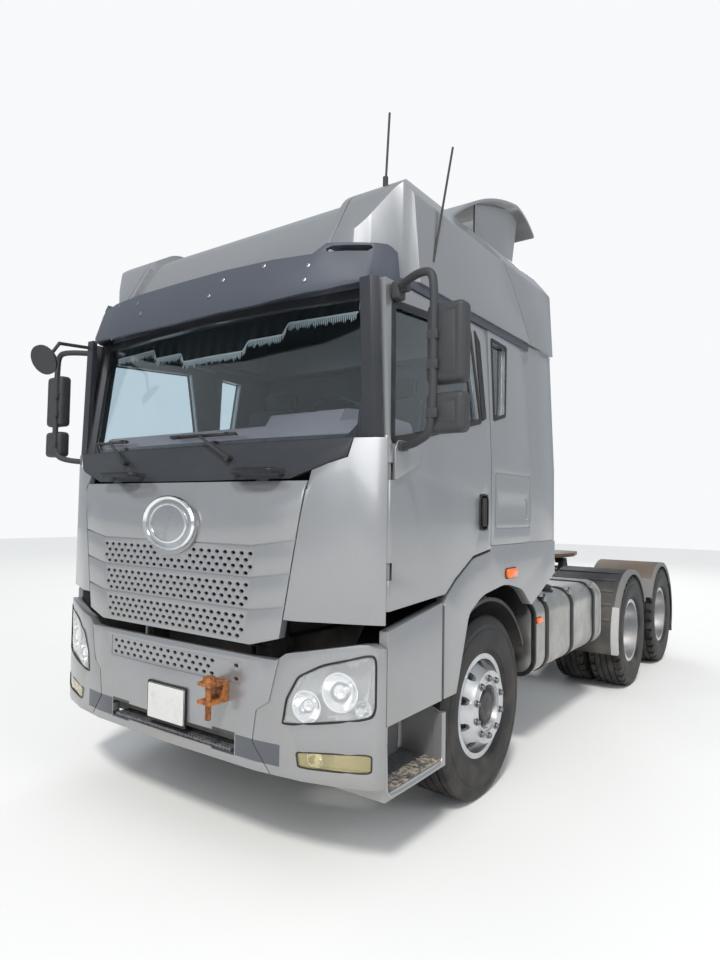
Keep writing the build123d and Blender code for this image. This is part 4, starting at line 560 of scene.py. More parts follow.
def addPlate(name, points, push, corner=0.0, inset=0.0, sink=(0, 0, 0)):
    # flat piece of any outline, pushed to its thickness, its face inset if asked
    plate = addRing(name, points)
    fillRing(corner)
    pushOut(push)
    if inset:
        bpy.ops.mesh.inset(thickness=inset)
        bpy.ops.transform.translate(value=sink)
    closeMesh()
    return plate


def addFrame(name, points, width, push, corner=0.0, segments=4):
    # flat ring of any outline, as wide as asked, pushed to its thickness
    ring = addRing(name, points)
    fillRing(corner, segments)
    bpy.ops.mesh.inset(thickness=width)
    bpy.ops.mesh.delete(type="ONLY_FACE")
    bpy.ops.mesh.select_all(action="SELECT")
    pushOut(push)
    closeMesh()
    return ring


def rect(low, high):
    # the corners of a flat rectangle, from two opposite ones
    (x0, y0, z0), (x1, y1, z1) = low, high
    if z0 == z1:
        return [(x0, y0, z0), (x1, y0, z0), (x1, y1, z0), (x0, y1, z0)]
    return [(x0, y0, z0), (x1, y1, z0), (x1, y1, z1), (x0, y0, z1)]


def addSpun(name, section, steps=48):
    # closed section (along, radius) spun round the x axis
    spun = addRing(name, [(along, 0, radius) for along, radius in section])
    bpy.ops.mesh.spin(steps=steps, angle=2 * math.pi, center=(0, 0, 0), axis=(1, 0, 0))
    closeMesh()
    return spun


def addBox(name, low, high, edge=0.004, segments=3):
    clearPick()
    bpy.ops.mesh.primitive_cube_add(size=1, location=(0, 0, 0))
    box = bpy.context.object
    box.name = name
    middle = [(a + b) / 2 for a, b in zip(low, high)]
    box.data.transform(Matrix.Translation(middle) @ Matrix.Diagonal([b - a for a, b in zip(low, high)] + [1]))
    startEdit()
    bpy.ops.mesh.bevel(offset=edge, segments=segments, affect="EDGES")
    closeMesh()
    return box


def addTube(name, points, radius, smoothIt=True):
    # round bar along smooth points
    clearPick()
    bpy.ops.curve.primitive_nurbs_path_add(location=(0, 0, 0))
    tube = bpy.context.object
    tube.name = name
    curve = tube.data
    curve.splines.clear()
    spline = curve.splines.new("NURBS" if smoothIt else "POLY")
    spline.points.add(len(points) - 1)
    for knot, place in zip(spline.points, points):
        knot.co = (*place, 1)
    if smoothIt:
        spline.order_u = 3
        spline.use_endpoint_u = True
    spline.resolution_u = 6
    curve.bevel_depth = radius
    curve.bevel_resolution = 4
    curve.use_fill_caps = True
    bpy.ops.object.convert(target="MESH")
    return bpy.context.object


def move(piece, matrix):
    piece.data.transform(matrix)
    if matrix.determinant() < 0:
        piece.data.flip_normals()
    return piece


def copyOf(piece, name, matrix):
    pickOnly(piece)
    bpy.ops.object.duplicate(linked=False)
    made = bpy.context.object
    made.name = name
    return move(made, matrix)


def joinAll(name, parts):
    clearPick()
    for part in parts:
        part.select_set(True)
    bpy.context.view_layer.objects.active = parts[0]
    if len(parts) > 1:
        bpy.ops.object.join()
    parts[0].name = name
    return parts[0]


def pickFaces(piece, test):
    pickOnly(piece)
    bpy.ops.object.mode_set(mode="EDIT")
    bpy.ops.mesh.select_mode(type="FACE")
    bpy.ops.mesh.select_all(action="DESELECT")
    endEdit()
    for face in piece.data.polygons:
        face.select = test(face)
    bpy.ops.object.mode_set(mode="EDIT")


def stepFaces(piece, test, *steps):
    # insets the faces that pass the test and moves them, step by step
    pickFaces(piece, test)
    for inset, shift in steps:
        bpy.ops.mesh.inset(thickness=inset)
        bpy.ops.transform.translate(value=shift)
    endEdit()


def sinkFaces(piece, test, inset, depth):
    # sinks each face that passes the test by itself
    pickFaces(piece, test)
    bpy.ops.mesh.inset(thickness=inset, use_individual=True)
    bpy.ops.transform.shrink_fatten(value=-depth)
    endEdit()


def toward(place, direction):
    # lays a piece made along x at a place, pointing along a direction
    turn = Vector(direction).normalized().to_track_quat("X", "Z").to_matrix().to_4x4()
    return Matrix.Translation(place) @ turn


def onNode(name, start, direction):
    # where a straight line first meets a node, and the way the surface faces there
    found, place, normal, index = nodes[name].ray_cast(slide @ Vector(start), Vector(direction))
    if not found:
        raise RuntimeError("nothing met on " + name)
    if normal.dot(Vector(direction)) > 0:
        normal = -normal
    return place - slide.translation, normal


def onFront(name, x, z):
    # the same from ahead of the truck
    return onNode(name, (x, -1.9, z), (0, 1, 0))


def endPiece(piece, body, slotName, look, bevel=0.0, angle=35, way=slide):
    # slides a piece from the axle to its place, then edges, shading, finish and body
    move(piece, way)
    pickOnly(piece)
    if bevel:
        addBevel(piece, bevel, math.radians(30))
        bpy.ops.object.modifier_apply(modifier="softEdges")
    bpy.ops.object.shade_smooth_by_angle(angle=math.radians(angle))
    setMaterial(piece, finish[look])
    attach(piece, body)


def endBoth(piece, body, slotName, look, bevel=0.0, angle=35, way=slide):
    # a piece of the left side, and its mirror image on the right
    other = copyOf(piece, piece.name.replace("left", "right"), mirrorX)
    endPiece(piece, body, slotName, look, bevel, angle, way)
    endPiece(other, body.replace("left", "right"), slotName, look, bevel, angle, way)
    return piece, other


# tyres with ribs and lugs
tyreForm = {
    "radius": 0.538, "steps": 96, "groove": 0.014, "ribs": (-0.084, -0.028, 0.028, 0.084),
    "notchX": (0.092, 0.146), "notchFrom": 0.51, "notchEvery": 3, "front": [1.025], "twin": [0.740, 1.090],
    "side": [(0.100, 0.2865), (0.1138, 0.2870), (0.1150, 0.300), (0.128, 0.309), (0.143, 0.335),
             (0.1455, 0.337), (0.1465, 0.343), (0.1530, 0.375), (0.156, 0.418), (0.1535, 0.452),
             (0.1505, 0.455), (0.1495, 0.478), (0.1515, 0.482), (0.1470, 0.505), (0.1390, 0.526),
             (0.1310, 0.5340)],
    "lining": [(0.128, 0.515), (0.138, 0.42), (0.112, 0.32)],
}


def tyreSection():
    side, lining = tyreForm["side"], tyreForm["lining"]
    tread = []
    for middle in tyreForm["ribs"]:
        crown = tyreForm["radius"] - 0.9 * middle ** 2 / 2
        for dx, down in ((-0.0065, 0), (-0.0045, 1), (0.0045, 1), (0.0065, 0)):
            tread.append((middle + dx, crown - down * tyreForm["groove"]))
    outside = [(-x, r) for x, r in side] + tread + [(x, r) for x, r in reversed(side)]
    return outside + [(x, r) for x, r in reversed(lining)] + [(-x, r) for x, r in lining]


def isNotch(face):
    # every third face of the shoulders, the two sides set off by one
    spot = face.center
    low, high = tyreForm["notchX"]
    turn = math.degrees(math.atan2(spot.y, spot.z)) % 360
    step = int(turn / 360 * tyreForm["steps"]) + (1 if spot.x > 0 else 0)
    outward = face.normal.dot(Vector((0, spot.y, spot.z)).normalized()) > 0.35
    return low < abs(spot.x) < high and outward and math.hypot(spot.y, spot.z) > tyreForm["notchFrom"] \
        and step % tyreForm["notchEvery"] == 0


def placeTyres():
    plain, lugged = (addSpun(name, tyreSection(), tyreForm["steps"]) for name in ("ribTyre", "lugTyre"))
    sinkFaces(lugged, isNotch, 0.003, 0.012)
    for row, back in {"front": 0.0, **rearRows}.items():
        source, many, places = (plain, "", "front") if row == "front" else (lugged, "s", "twin")
        for side, label in sides:
            for index, x in enumerate(tyreForm[places]):
                name = "tread%s_%s_%s.%d" % (many, row, label, index + 1)
                tyre = copyOf(source, name, Matrix.Translation((side * x, back, axleHeight)))
                endPiece(tyre, "wheel%s_%s_%s" % (many, row, label), "tyre", "rubber", 0.0, 32)
                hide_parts("tyre%s_%s_%s" % (many, row, label))
    for source in (plain, lugged):
        bpy.data.objects.remove(source)


placeTyres()
print("tyres made")


# wheel nuts and hubs
hubForm = {
    "nuts": 10, "nutCircle": 0.1675, "frontFace": 1.200, "rearFace": 0.929, "frontX": 1.025,
    "bolts": 8, "boltCircle": 0.066, "boltX": 1.070, "boltSize": 0.4,
    "washer": [(0, 0), (0, 0.0215), (0.0035, 0.0205), (0.0035, 0)],
    "hexagon": [(0.003, 0), (0.003, 0.0180), (0.012, 0.0180), (0.014, 0.0165), (0.014, 0)],
    "stud": [(0.013, 0), (0.013, 0.0150), (0.017, 0.0140), (0.021, 0.0095), (0.022, 0)],
    "frontCap": [(0.100, 0), (0.100, 0.137), (0.118, 0.137), (0.124, 0.128), (0.126, 0.098), (0.133, 0.092),
                 (0.156, 0.088), (0.163, 0.080), (0.165, 0.040), (0.170, 0.034), (0.170, 0)],
    "lip": [(0.1745, 0.1415), (0.1780, 0.1440), (0.1780, 0.1490), (0.1745, 0.1520)],
    "rearCap": [(1.050, 0), (1.050, 0.084), (1.066, 0.084), (1.072, 0.078), (1.074, 0.052), (1.082, 0.046),
                (1.082, 0)],
}


def placeNuts(name, nut, face, side, back, body):
    parts = []
    for index in range(hubForm["nuts"]):
        turn = 2 * math.pi * (index + 0.5) / hubForm["nuts"]
        y, z = (hubForm["nutCircle"] * part for part in (math.cos(turn), math.sin(turn)))
        parts.append(copyOf(nut, "nutCopy", toward((side * face, back + y, axleHeight + z), (side, 0, 0))))
    endPiece(joinAll(name, parts), body, "wheel_metal", "nut")


def placeHubs():
    form = hubForm
    nut = joinAll("wheelNut", [addSpun(name, form[name], steps)
                               for name, steps in (("washer", 18), ("hexagon", 6), ("stud", 16))])
    for side, label in sides:
        body = "wheel_front_" + label
        lay = toward((side * form["frontX"], 0, axleHeight), (side, 0, 0))
        placeNuts("nuts_front_" + label, nut, form["frontFace"], side, 0, body)
        cap = addSpun("hub_front_" + label, form["frontCap"], 56)
        endPiece(move(cap, lay), body, "greased_steel", "hubGrey", 0.0015)
        lip = addSpun("hub_ring_" + label, form["lip"], 64)
        endPiece(move(lip, lay), body, "wheel_metal", "wheel")
        for row, back in rearRows.items():
            body = "wheels_%s_%s" % (row, label)
            placeNuts("nuts_%s_%s" % (row, label), nut, form["rearFace"], side, back, body)
            parts = [addSpun("hub_%s_%s" % (row, label), form["rearCap"], 40)]
            for index in range(form["bolts"]):
                turn = 2 * math.pi * index / form["bolts"]
                y, z = (form["boltCircle"] * part for part in (math.cos(turn), math.sin(turn)))
                spot = Matrix.Translation((form["boltX"], y, z)) @ Matrix.Scale(form["boltSize"], 4)
                parts.append(copyOf(nut, "capBolt", spot))
            cap = joinAll("hub_%s_%s" % (row, label), parts)
            move(cap, toward((0, back, axleHeight), (side, 0, 0)))
            endPiece(cap, body, "greased_steel", "hubGrey")
    bpy.data.objects.remove(nut)


placeHubs()
print("hubs made")


# outside mirrors on their bent bar
mirrorForm = {
    "x": (1.455, 1.640), "y": (-1.235, -1.150), "heights": ((2.250, 2.602), (2.036, 2.212)), "round": 0.026,
    "glassInset": 0.018, "barRadius": 0.019, "barX": 1.495, "clamps": (2.46, 2.33, 2.12),
    "bar": [(1.225, -1.11, 2.745), (1.30, -1.16, 2.752), (1.42, -1.225, 2.756), (1.487, -1.236, 2.742),
            (1.499, -1.238, 2.66), (1.501, -1.238, 2.40), (1.499, -1.238, 2.14), (1.481, -1.232, 2.040),
            (1.42, -1.205, 2.012), (1.33, -1.14, 2.000), (1.254, -1.10, 1.997)],
    "brackets": [((1.215, -1.150, 2.690), (1.262, -1.085, 2.774), 0.010),
                 ((1.232, -1.138, 2.722), (1.300, -1.098, 2.766), 0.010),
                 ((1.252, -1.130, 1.978), (1.280, -1.070, 2.022), 0.008)],
}


def makeMirrors():
    form = mirrorForm
    (x0, x1), (y0, y1), inset, barX = form["x"], form["y"], form["glassInset"], form["barX"]
    parts, glasses = [], []
    for z0, z1 in form["heights"]:
        house = addBox("housing", (x0, y0, z0), (x1, y1, z1), form["round"], 4)
        stepFaces(house, lambda face: face.normal.y < -0.95 and face.area > 0.004,
                  (0.016, (0, 0.004, 0)), (0.006, (0, -0.003, 0)))
        stepFaces(house, lambda face: face.normal.y > 0.95 and face.area > 0.004, (0.004, (0, -0.005, 0)))
        parts.append(house)
        glassY = y1 - 0.0045
        corners = rect((x0 + inset, glassY, z0 + inset), (x1 - inset, glassY, z1 - inset))
        glasses.append(addPlate("glass", corners, (0, 0.0025, 0), 0.02))
    parts.append(addTube("bar", form["bar"], form["barRadius"]))
    for z in form["clamps"]:
        low, high = (barX - 0.024, -1.256, z - 0.022), (barX + 0.030, -1.222, z + 0.022)
        parts.append(addBox("clamp", low, high, 0.006))
    parts += [addBox("bracket", low, high, edge) for low, high, edge in form["brackets"]]
    house = joinAll("mirror_housing_left", parts)
    glass = joinAll("mirror_glass_left", glasses)
    for source, slotName, look in ((house, "mirror_housing", "housing"),
                                   (glass, "clear_glass", "mirrorGlass")):
        left, right = endBoth(source, "door_left", slotName, look)
        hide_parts("mirror_left")
        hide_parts("mirror_right")


makeMirrors()
print("mirrors made")

# trim round the side windows, pads on the doors: outlines of the side view
windowForm = {
    "door": [(-1.113, 2.674), (-1.150, 2.034), (-0.876, 2.085), (-0.225, 2.229), (-0.329, 2.728)],
    "quarter": [(-0.020, 2.741), (0.189, 2.733), (0.137, 2.303), (-0.020, 2.262)],
    "strip": [(-0.262, 2.752), (-0.196, 2.690), (-0.142, 2.245), (-0.198, 2.226)],
    "pad": [(-1.150, 1.838), (-1.150, 1.990), (-1.125, 2.028), (-1.060, 2.028), (-0.925, 2.003),
            (-0.935, 1.930)],
}


def sidePoints(name, size=0.0):
    # an outline moved outwards by a size and laid on the cab's side, which leans in above the sills
    outline = windowForm[name]
    pairs = list(zip(outline, outline[1:] + outline[:1]))
    turn = 1 if sum(a[0] * b[1] - b[0] * a[1] for a, b in pairs) > 0 else -1
    made = []
    for index, (y, z) in enumerate(outline):
        ways = []
        for a, b in (pairs[index - 1], pairs[index]):
            along = Vector((b[0] - a[0], b[1] - a[1])).normalized()
            ways.append(Vector((along.y, -along.x)) * turn)
        out = (ways[0] + ways[1]).normalized()
        y, z = (v + part * size / out.dot(ways[0]) for v, part in zip((y, z), out))
        made.append((1.245 - 0.035 * max(z - 2.0, 0) / 0.795, y, z))
    return made


def makeSideTrim():
    seal = addFrame("door_seal_left", sidePoints("door", 0.024), 0.032, (0.004, 0, 0), 0.03)
    strip = addPlate("window_strip_left", sidePoints("strip"), (0.006, 0, 0), 0.012, 0.014, (-0.002, 0, 0))
    pad = addPlate("mirror_pad_left", sidePoints("pad"), (0.012, 0, 0), 0.012)
    quarter = addFrame("quarter_seal_left", sidePoints("quarter", 0.016), 0.022, (0.003, 0, 0), 0.02)
    for piece, body in ((seal, "door_left"), (strip, "door_left"), (quarter, "cab")):
        endBoth(piece, body, "dark_plastic", "gasket", 0.0015)
    endBoth(pad, "door_left", "body_paint", "paint", 0.005)


makeSideTrim()
print("side trim made")

# badge, plate, screws, lamps on the front
badgeForm = {
    "x": 0, "z": 1.594, "wide": 0.215 / 0.148, "steps": 72,
    "ring": ("chrome", [(-0.004, 0.1475), (0.008, 0.1475), (0.015, 0.1400), (0.008, 0.1270),
                        (-0.004, 0.1260)]),
    "face": ("badgeFace", [(-0.004, 0), (-0.004, 0.127), (0.003, 0.127), (0.009, 0.085), (0.011, 0.0)]),
    "rim": ("chrome", [(0.001, 0.108), (0.0095, 0.107), (0.0125, 0.102), (0.0105, 0.096), (0.001, 0.095)]),
}
plateForm = {"x": 0.150, "z": (0.565, 0.753), "meetsAt": 0.68}
screwForm = {
    "size": 0.013, "places": [(0.845, 2.797), (0.285, 2.790), (0.845, 2.875), (0.355, 2.868), (0.600, 2.905)],
    "section": [(-0.002, 0), (-0.002, 1), (0.0015, 1), (0.004, 0.72), (0.004, 0.35), (0.0015, 0.3),
                (0.0015, 0)],
}


def makeBadge():
    form = badgeForm
    place, normal = onFront("front_lid", form["x"], form["z"] + 0.02)
    lay = toward(place - normal * 0.001, normal) @ Matrix.Diagonal((1, form["wide"], 1, 1))
    for name in ("ring", "face", "rim"):
        look, section = form[name]
        piece = move(addSpun("badge_" + name, section, form["steps"]), lay)
        endPiece(piece, "front_lid", "body_paint", look, 0.0, 50)


def makePlateHolder():
    x, (z0, z1) = plateForm["x"], plateForm["z"]
    y = onFront("front_bumper", 0, plateForm["meetsAt"])[0].y
    outer = rect((-x * 1.05, y + 0.002, z0 - 0.012), (x * 1.05, y + 0.002, z1 + 0.009))
    holder = addPlate("plate_holder", outer, (0, -0.012, 0), 0.010, 0.006, (0, 0.002, 0))
    endPiece(holder, "chassis", "dark_plastic", "gasket", 0.002)
    blank = addPlate("number_plate", rect((-x, y - 0.009, z0), (x, y - 0.009, z1)), (0, -0.0045, 0),
                     0.012, 0.005, (0, -0.001, 0))
    endPiece(blank, "chassis", "dark_plastic", "white", 0.0006)
    edge = addFrame("plate_edge", rect((-x, y - 0.0135, z0), (x, y - 0.0135, z1)), 0.0035,
                    (0, -0.0012, 0), 0.012)
    endPiece(edge, "chassis", "dark_plastic", "gasket")


def makeScrews():
    size = screwForm["size"]
    screw = addSpun("screw", [(along, size * radius) for along, radius in screwForm["section"]], 20)
    parts = [copyOf(screw, "screwCopy", toward(*onFront("sun_visor", side * x, z)))
             for x, z in screwForm["places"] for side, label in sides]
    endPiece(joinAll("visor_screws", parts), "cab", "visor_plastic", "screw", 0.0, 40)
    bpy.data.objects.remove(screw)


lampForm = {
    "bowls": [(0.905, 0.790, 0.070), (1.060, 0.870, 0.085), (1.165, 0.800, 0.040)],
    "bowl": [(-0.075, 0), (-0.075, 0.35), (-0.050, 0.72), (-0.014, 0.98), (-0.014, 1.06), (-0.020, 1.06),
             (-0.056, 0.80), (-0.082, 0.4), (-0.082, 0)],
    "bulb": [(-0.076, 0), (-0.076, 0.010), (-0.046, 0.010), (-0.040, 0.006), (-0.038, 0)],
    "fogBowl": [(-0.060, 0), (-0.060, 0.012), (-0.035, 0.028), (-0.012, 0.036), (-0.012, 0.040),
                (-0.040, 0.030), (-0.066, 0.012), (-0.066, 0)],
    "outline": [(0.786, 0.692), (0.806, 0.815), (0.868, 0.925), (0.985, 0.988), (1.218, 1.056),
                (1.218, 0.768)],
    "fog": [(0.876, 0.514), (0.862, 0.584), (1.206, 0.612), (1.206, 0.526)],
    "seals": {"outline": 0.0055, "fog": 0.004},
}
bumperSkin = [(0, -1.405), (0.640, -1.390), (0.900, -1.350), (1.110, -1.285), (1.195, -1.245),
              (1.233, -1.219), (1.245, -1.191)]


def makeLampParts():
    bowls = []
    for x, z, size in lampForm["bowls"]:
        lay = toward(onFront("front_lamps", x, z)[0], (0.20, -1, 0))
        bowl = addSpun("bowl", [(along, size * radius) for along, radius in lampForm["bowl"]], 40)
        bowls += [move(bowl, lay), move(addSpun("bulb", lampForm["bulb"], 20), lay)]
    lay = toward(onFront("front_lamps", 0.95, 0.56)[0], (0.15, -1, 0))
    bowls.append(move(addSpun("fogBowl", lampForm["fogBowl"], 32), lay))
    endBoth(joinAll("lamp_bowls_left", bowls), "chassis", "lamp_glass", "bowl", 0.0, 50)


def bumperY(x):
    # how far forward the bumper's skin is at a place across the truck
    for (x0, y0), (x1, y1) in zip(bumperSkin, bumperSkin[1:]):
        if abs(x) <= x1:
            return y0 + (y1 - y0) * (abs(x) - x0) / (x1 - x0)
    return bumperSkin[-1][1]


def makeLampSeals():
    # rubber line round each lamp, laid on the bumper's skin
    for name, size in lampForm["seals"].items():
        points = []
        outline = lampForm[name]
        for (x, z), (nextX, nextZ) in zip(outline, outline[1:] + outline[:1]):
            for share in (0.08, 0.36, 0.64, 0.92):
                px, pz = x + (nextX - x) * share, z + (nextZ - z) * share
                points.append((px, bumperY(px) + 0.002, pz))
        seal = addTube("%s_seal_left" % name, points + points[:1], size)
        endBoth(seal, "chassis", "dark_plastic", "gasket", 0.0, 60)


makeBadge()
makePlateHolder()
makeScrews()
makeLampParts()
makeLampSeals()
print("front trim made")

# seats and mattress: low corner, high corner, crown, cuts, channels, thick axis
seatForm = {
    "x": 0.520, "lean": math.radians(-7), "backFront": -0.165, "backLow": 1.885,
    "cushion": ((-0.25, -0.590, 1.755), (0.25, -0.090, 1.895), 0.30, 12, (-0.52, 0.52)),
    "back": ((-0.235, -0.070, 1.890), (0.235, 0.055, 2.430), 0.34, 12, (-0.52, 0.52), 1),
    "head": ((-0.140, -0.040, 2.440), (0.140, 0.050, 2.575), 0.36, 8, (), 1),
    "mattress": ((-1.085, 0.130, 1.832), (1.085, 0.512, 1.975), 0.22, 16, (-0.6, -0.2, 0.2, 0.6)),
    "base": ((-0.19, -0.540, 1.541), (0.19, -0.140, 1.765), 0.02),
    "bunk": ((-1.095, 0.125, 1.545), (1.095, 0.515, 1.830), 0.012),
}


def makeCushion(name, low, high, crown, cuts, channels, thickAxis=2):
    # crowned pad: sides pull in between the corners, sewn channels run along it
    clearPick()
    bpy.ops.mesh.primitive_cube_add(size=2, location=(0, 0, 0))
    pad = bpy.context.object
    pad.name = name
    startEdit()
    bpy.ops.mesh.bevel(offset=0.16, segments=2, affect="EDGES")
    bpy.ops.mesh.subdivide(number_cuts=cuts // 4)
    bpy.ops.mesh.subdivide(number_cuts=1)
    closeMesh()
    middle = [(a + b) / 2 for a, b in zip(low, high)]
    half = [(b - a) / 2 for a, b in zip(low, high)]
    u, v = [i for i in range(3) if i != thickAxis]
    for corner in pad.data.vertices:
        place = list(corner.co)
        rise = (1 - place[u] ** 2) * (1 - place[v] ** 2)
        groove = sum(math.exp(-((place[u] - c) / 0.05) ** 2) for c in channels)
        top = place[thickAxis]
        place[thickAxis] = top * (1 - crown * (1 - rise) - 0.10 * groove)
        place[u] *= 1 - 0.035 * (1 - place[v] ** 2) * (1 - top ** 2)
        place[v] *= 1 - 0.035 * (1 - place[u] ** 2) * (1 - top ** 2)
        corner.co = [m + h * q for m, h, q in zip(middle, half, place)]
    pickOnly(pad)
    soft = pad.modifiers.new("soft", "SUBSURF")
    soft.levels = 1
    soft.render_levels = 1
    bpy.ops.object.modifier_apply(modifier="soft")
    return pad


def endPad(piece, look):
    endPiece(piece, "cab", "seat_cloth", look, 0.0, 60)
    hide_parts("seats_and_bunk")


def makeSeats():
    form = seatForm
    for side, label in sides:
        seat, back, head = (makeCushion("seat_%s_%s" % (name, label), *form[name])
                            for name in ("cushion", "back", "head"))
        # the back leans, so it is set by its own lowest and foremost edge
        move(back, Matrix.Translation((0, -0.065, 0)) @ Matrix.Rotation(form["lean"], 4, Vector((1, 0, 0))) @
             Matrix.Translation((0, 0.245, -0.005)))
        front, lowest = (min(corner.co[axis] for corner in back.data.vertices) for axis in (1, 2))
        move(back, Matrix.Translation((0, form["backFront"] - front, form["backLow"] - lowest)))
        shift = Matrix.Translation((side * form["x"], 0, 0))
        for piece in (seat, back, head):
            endPad(move(piece, shift), "cloth")
        base = addBox("seat_base_" + label, *form["base"])
        sinkFaces(base, lambda face: abs(face.normal.z) < 0.1 and face.area > 0.02, 0.03, 0.012)
        endPiece(move(base, shift), "cab", "dark_plastic", "dark", 0.002)
        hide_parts("seats_and_bunk")
    bunk = addBox("bunk_base", *form["bunk"])
    stepFaces(bunk, lambda face: face.normal.y < -0.9 and face.area > 0.1, (0.03, (0, 0.008, 0)))
    endPiece(bunk, "cab", "dash_plastic", "inside", 0.002)
    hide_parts("seats_and_bunk")
    endPad(makeCushion("bunk_mattress", *form["mattress"]), "mattress")


makeSeats()
print("seats made")

# cloth hung behind the windscreen's top
valanceForm = {"half": 0.99, "top": 2.742, "steps": [(0.25, 2.560), (0.53, 2.615), (0.99, 2.675)],
               "slope": 0.035, "behind": 0.034, "tassel": 0.0120, "drop": 0.040,
               "breaks": (0.25, 0.285, 0.53, 0.565, 0.99)}


def screenY(x, z):
    # outer face of the windscreen
    across = 0.014 * min(abs(x), 0.56) / 0.56 + 0.046 * max(abs(x) - 0.56, 0) / 0.51
    return -1.268 + across + 0.146 * (z - 2.035)


def valanceLow(x):
    # lower edge of the cloth, dropping in two short slopes to the middle
    steps = valanceForm["steps"]
    edge = steps[0][1]
    for (at, z), (after, nextZ) in zip(steps, steps[1:]):
        edge += (nextZ - z) * min(max((abs(x) - at) / valanceForm["slope"], 0), 1)
    return edge


def makeFringe():
    size, drop = valanceForm["tassel"], valanceForm["drop"]
    edges = [-x for x in reversed(valanceForm["breaks"])] + list(valanceForm["breaks"])
    outline = ((0, 0), (0.75, 0), (0.60, -0.7), (0.45, -1.0), (0.15, -0.7))
    parts = []
    for start, end in zip(edges, edges[1:]):
        tassel = addPlate("tassel", [(start + size * x, 0, z) for x, z in outline], (0, 0.003, 0))
        pickOnly(tassel)
        row = tassel.modifiers.new("row", "ARRAY")
        row.use_relative_offset = False
        row.use_constant_offset = True
        row.constant_offset_displace = (size, 0, 0)
        row.count = max(int((end - start) / size), 1)
        bpy.ops.object.modifier_apply(modifier="row")
        parts.append(tassel)
    fringe = joinAll("valance_fringe", parts)
    for corner in fringe.data.vertices:
        x, y, z = corner.co
        length = drop * (1 + 0.18 * math.sin(x * 411) + 0.12 * math.sin(x * 173))
        low = valanceLow(x) + z * length + 0.004
        corner.co = (x, screenY(x, low) + valanceForm["behind"] - 0.004 + y, low)
    return fringe


def makeValance():
    behind = valanceForm["behind"]
    clearPick()
    bpy.ops.mesh.primitive_grid_add(x_subdivisions=200, y_subdivisions=10, size=2, location=(0, 0, 0))
    cloth = bpy.context.object
    cloth.name = "screen_valance"
    for corner in cloth.data.vertices:
        x = corner.co.x * valanceForm["half"]
        share = (corner.co.y + 1) / 2
        low = valanceLow(x)
        z = low + (valanceForm["top"] - low) * share
        ripple = 0.003 * math.sin(x * 70) * (1 - share)
        corner.co = (x, screenY(x, z) + behind + ripple, z)
    fringe = makeFringe()
    points = [(x, screenY(x, valanceLow(x)) + behind - 0.003, valanceLow(x) + 0.004)
              for x in (step / 100 for step in range(-99, 100))]
    trim = addTube("valance_braid", points, 0.0045, False)
    for piece, look in ((cloth, "valance"), (fringe, "fringe"), (trim, "fringe")):
        endPiece(piece, "cab", "seat_cloth", look, 0.0, 60)


makeValance()
print("valance made")

# treads, tank fittings, markers and grips
stepTreads = {"low": ((0.975, -1.150, 0.4195), (1.228, -0.615, 0.4195)),
              "high": ((0.975, -1.165, 0.7645), (1.190, -0.672, 0.7645))}
tankForm = {
    "low": (0.586, 0.556), "high": (1.209, 1.109), "corner": 0.132, "width": 0.030,
    "hoops": {"front": (0.728, "gasket"), "rear": (2.272, "tank")}, "buckles": (0.966, 1.515, 2.080),
    "cap": [(-0.010, 0), (-0.010, 0.060), (0.012, 0.064), (0.016, 0.066), (0.030, 0.064), (0.036, 0.056),
            (0.036, 0.020), (0.044, 0.014), (0.044, 0)],
    "cover": [(-0.012, 0), (-0.012, 0.072), (0.006, 0.074), (0.010, 0.066), (0.014, 0.056), (0.036, 0.054),
              (0.042, 0.046), (0.044, 0.018), (0.058, 0.014), (0.058, 0)],
    "bolt": [(0, 0), (0, 0.009), (0.040, 0.009), (0.040, 0.015), (0.052, 0.015), (0.052, 0)],
}
# markers: node, y, z, half length, half height, body
markers = {"fender": ("wheel_arches", 0.205, 1.322, 0.085, 0.034, "cab"),
           "tank": ("fuel_tank", 0.800, 0.950, 0.050, 0.022, "chassis")}
gripForm = {"right": (-0.658, -0.350), "left": (0.409, 0.735), "z": 1.884, "radius": 0.0135}


def makeTreads():
    slot = addBox("bumper_tread", (-0.470, -1.392, 0.500), (0.470, -1.300, 0.524), 0.004)
    endPiece(slot, "chassis", "dark_plastic", "tread")
    for name, corners in stepTreads.items():
        tread = addPlate("step_tread_%s_left" % name, rect(*corners), (0, 0, 0.006), 0.012, 0.010,
                         (0, 0, -0.002))
        endBoth(tread, "chassis", "dark_plastic", "tread", 0.001)


def makeTankTrim():
    form = tankForm
    (x0, z0), (x1, z1), width = form["low"], form["high"], form["width"]
    for label, (y, look) in form["hoops"].items():
        hoop = addFrame("tank_hoop_" + label, rect((x0, y, z0), (x1, y, z1)), width, (0, width, 0),
                        form["corner"], 12)
        endPiece(hoop, "chassis", "strap", look, 0.003)
    cap = move(addSpun("tank_cap", form["cap"], 32), toward((0.980, 1.060, 1.146), (0, 0, 1)))
    endPiece(cap, "chassis", "dark_plastic", "dark", 0.001)
    cover = move(addSpun("tank_sender_cover", form["cover"], 32), toward((1.060, 1.290, 1.106), (0.12, 0, 1)))
    endPiece(cover, "chassis", "dark_plastic", "gasket", 0.001)
    buckles = []
    for y in form["buckles"]:
        buckles.append(addBox("buckle", (1.150, y - 0.022, 1.060), (1.196, y + 0.022, 1.098), 0.004))
        lay = toward((1.165, y, 1.070), (0.55, 0, 0.85))
        buckles.append(move(addSpun("strapBolt", form["bolt"], 6), lay))
    endPiece(joinAll("strap_buckles", buckles), "chassis", "strap", "screw")


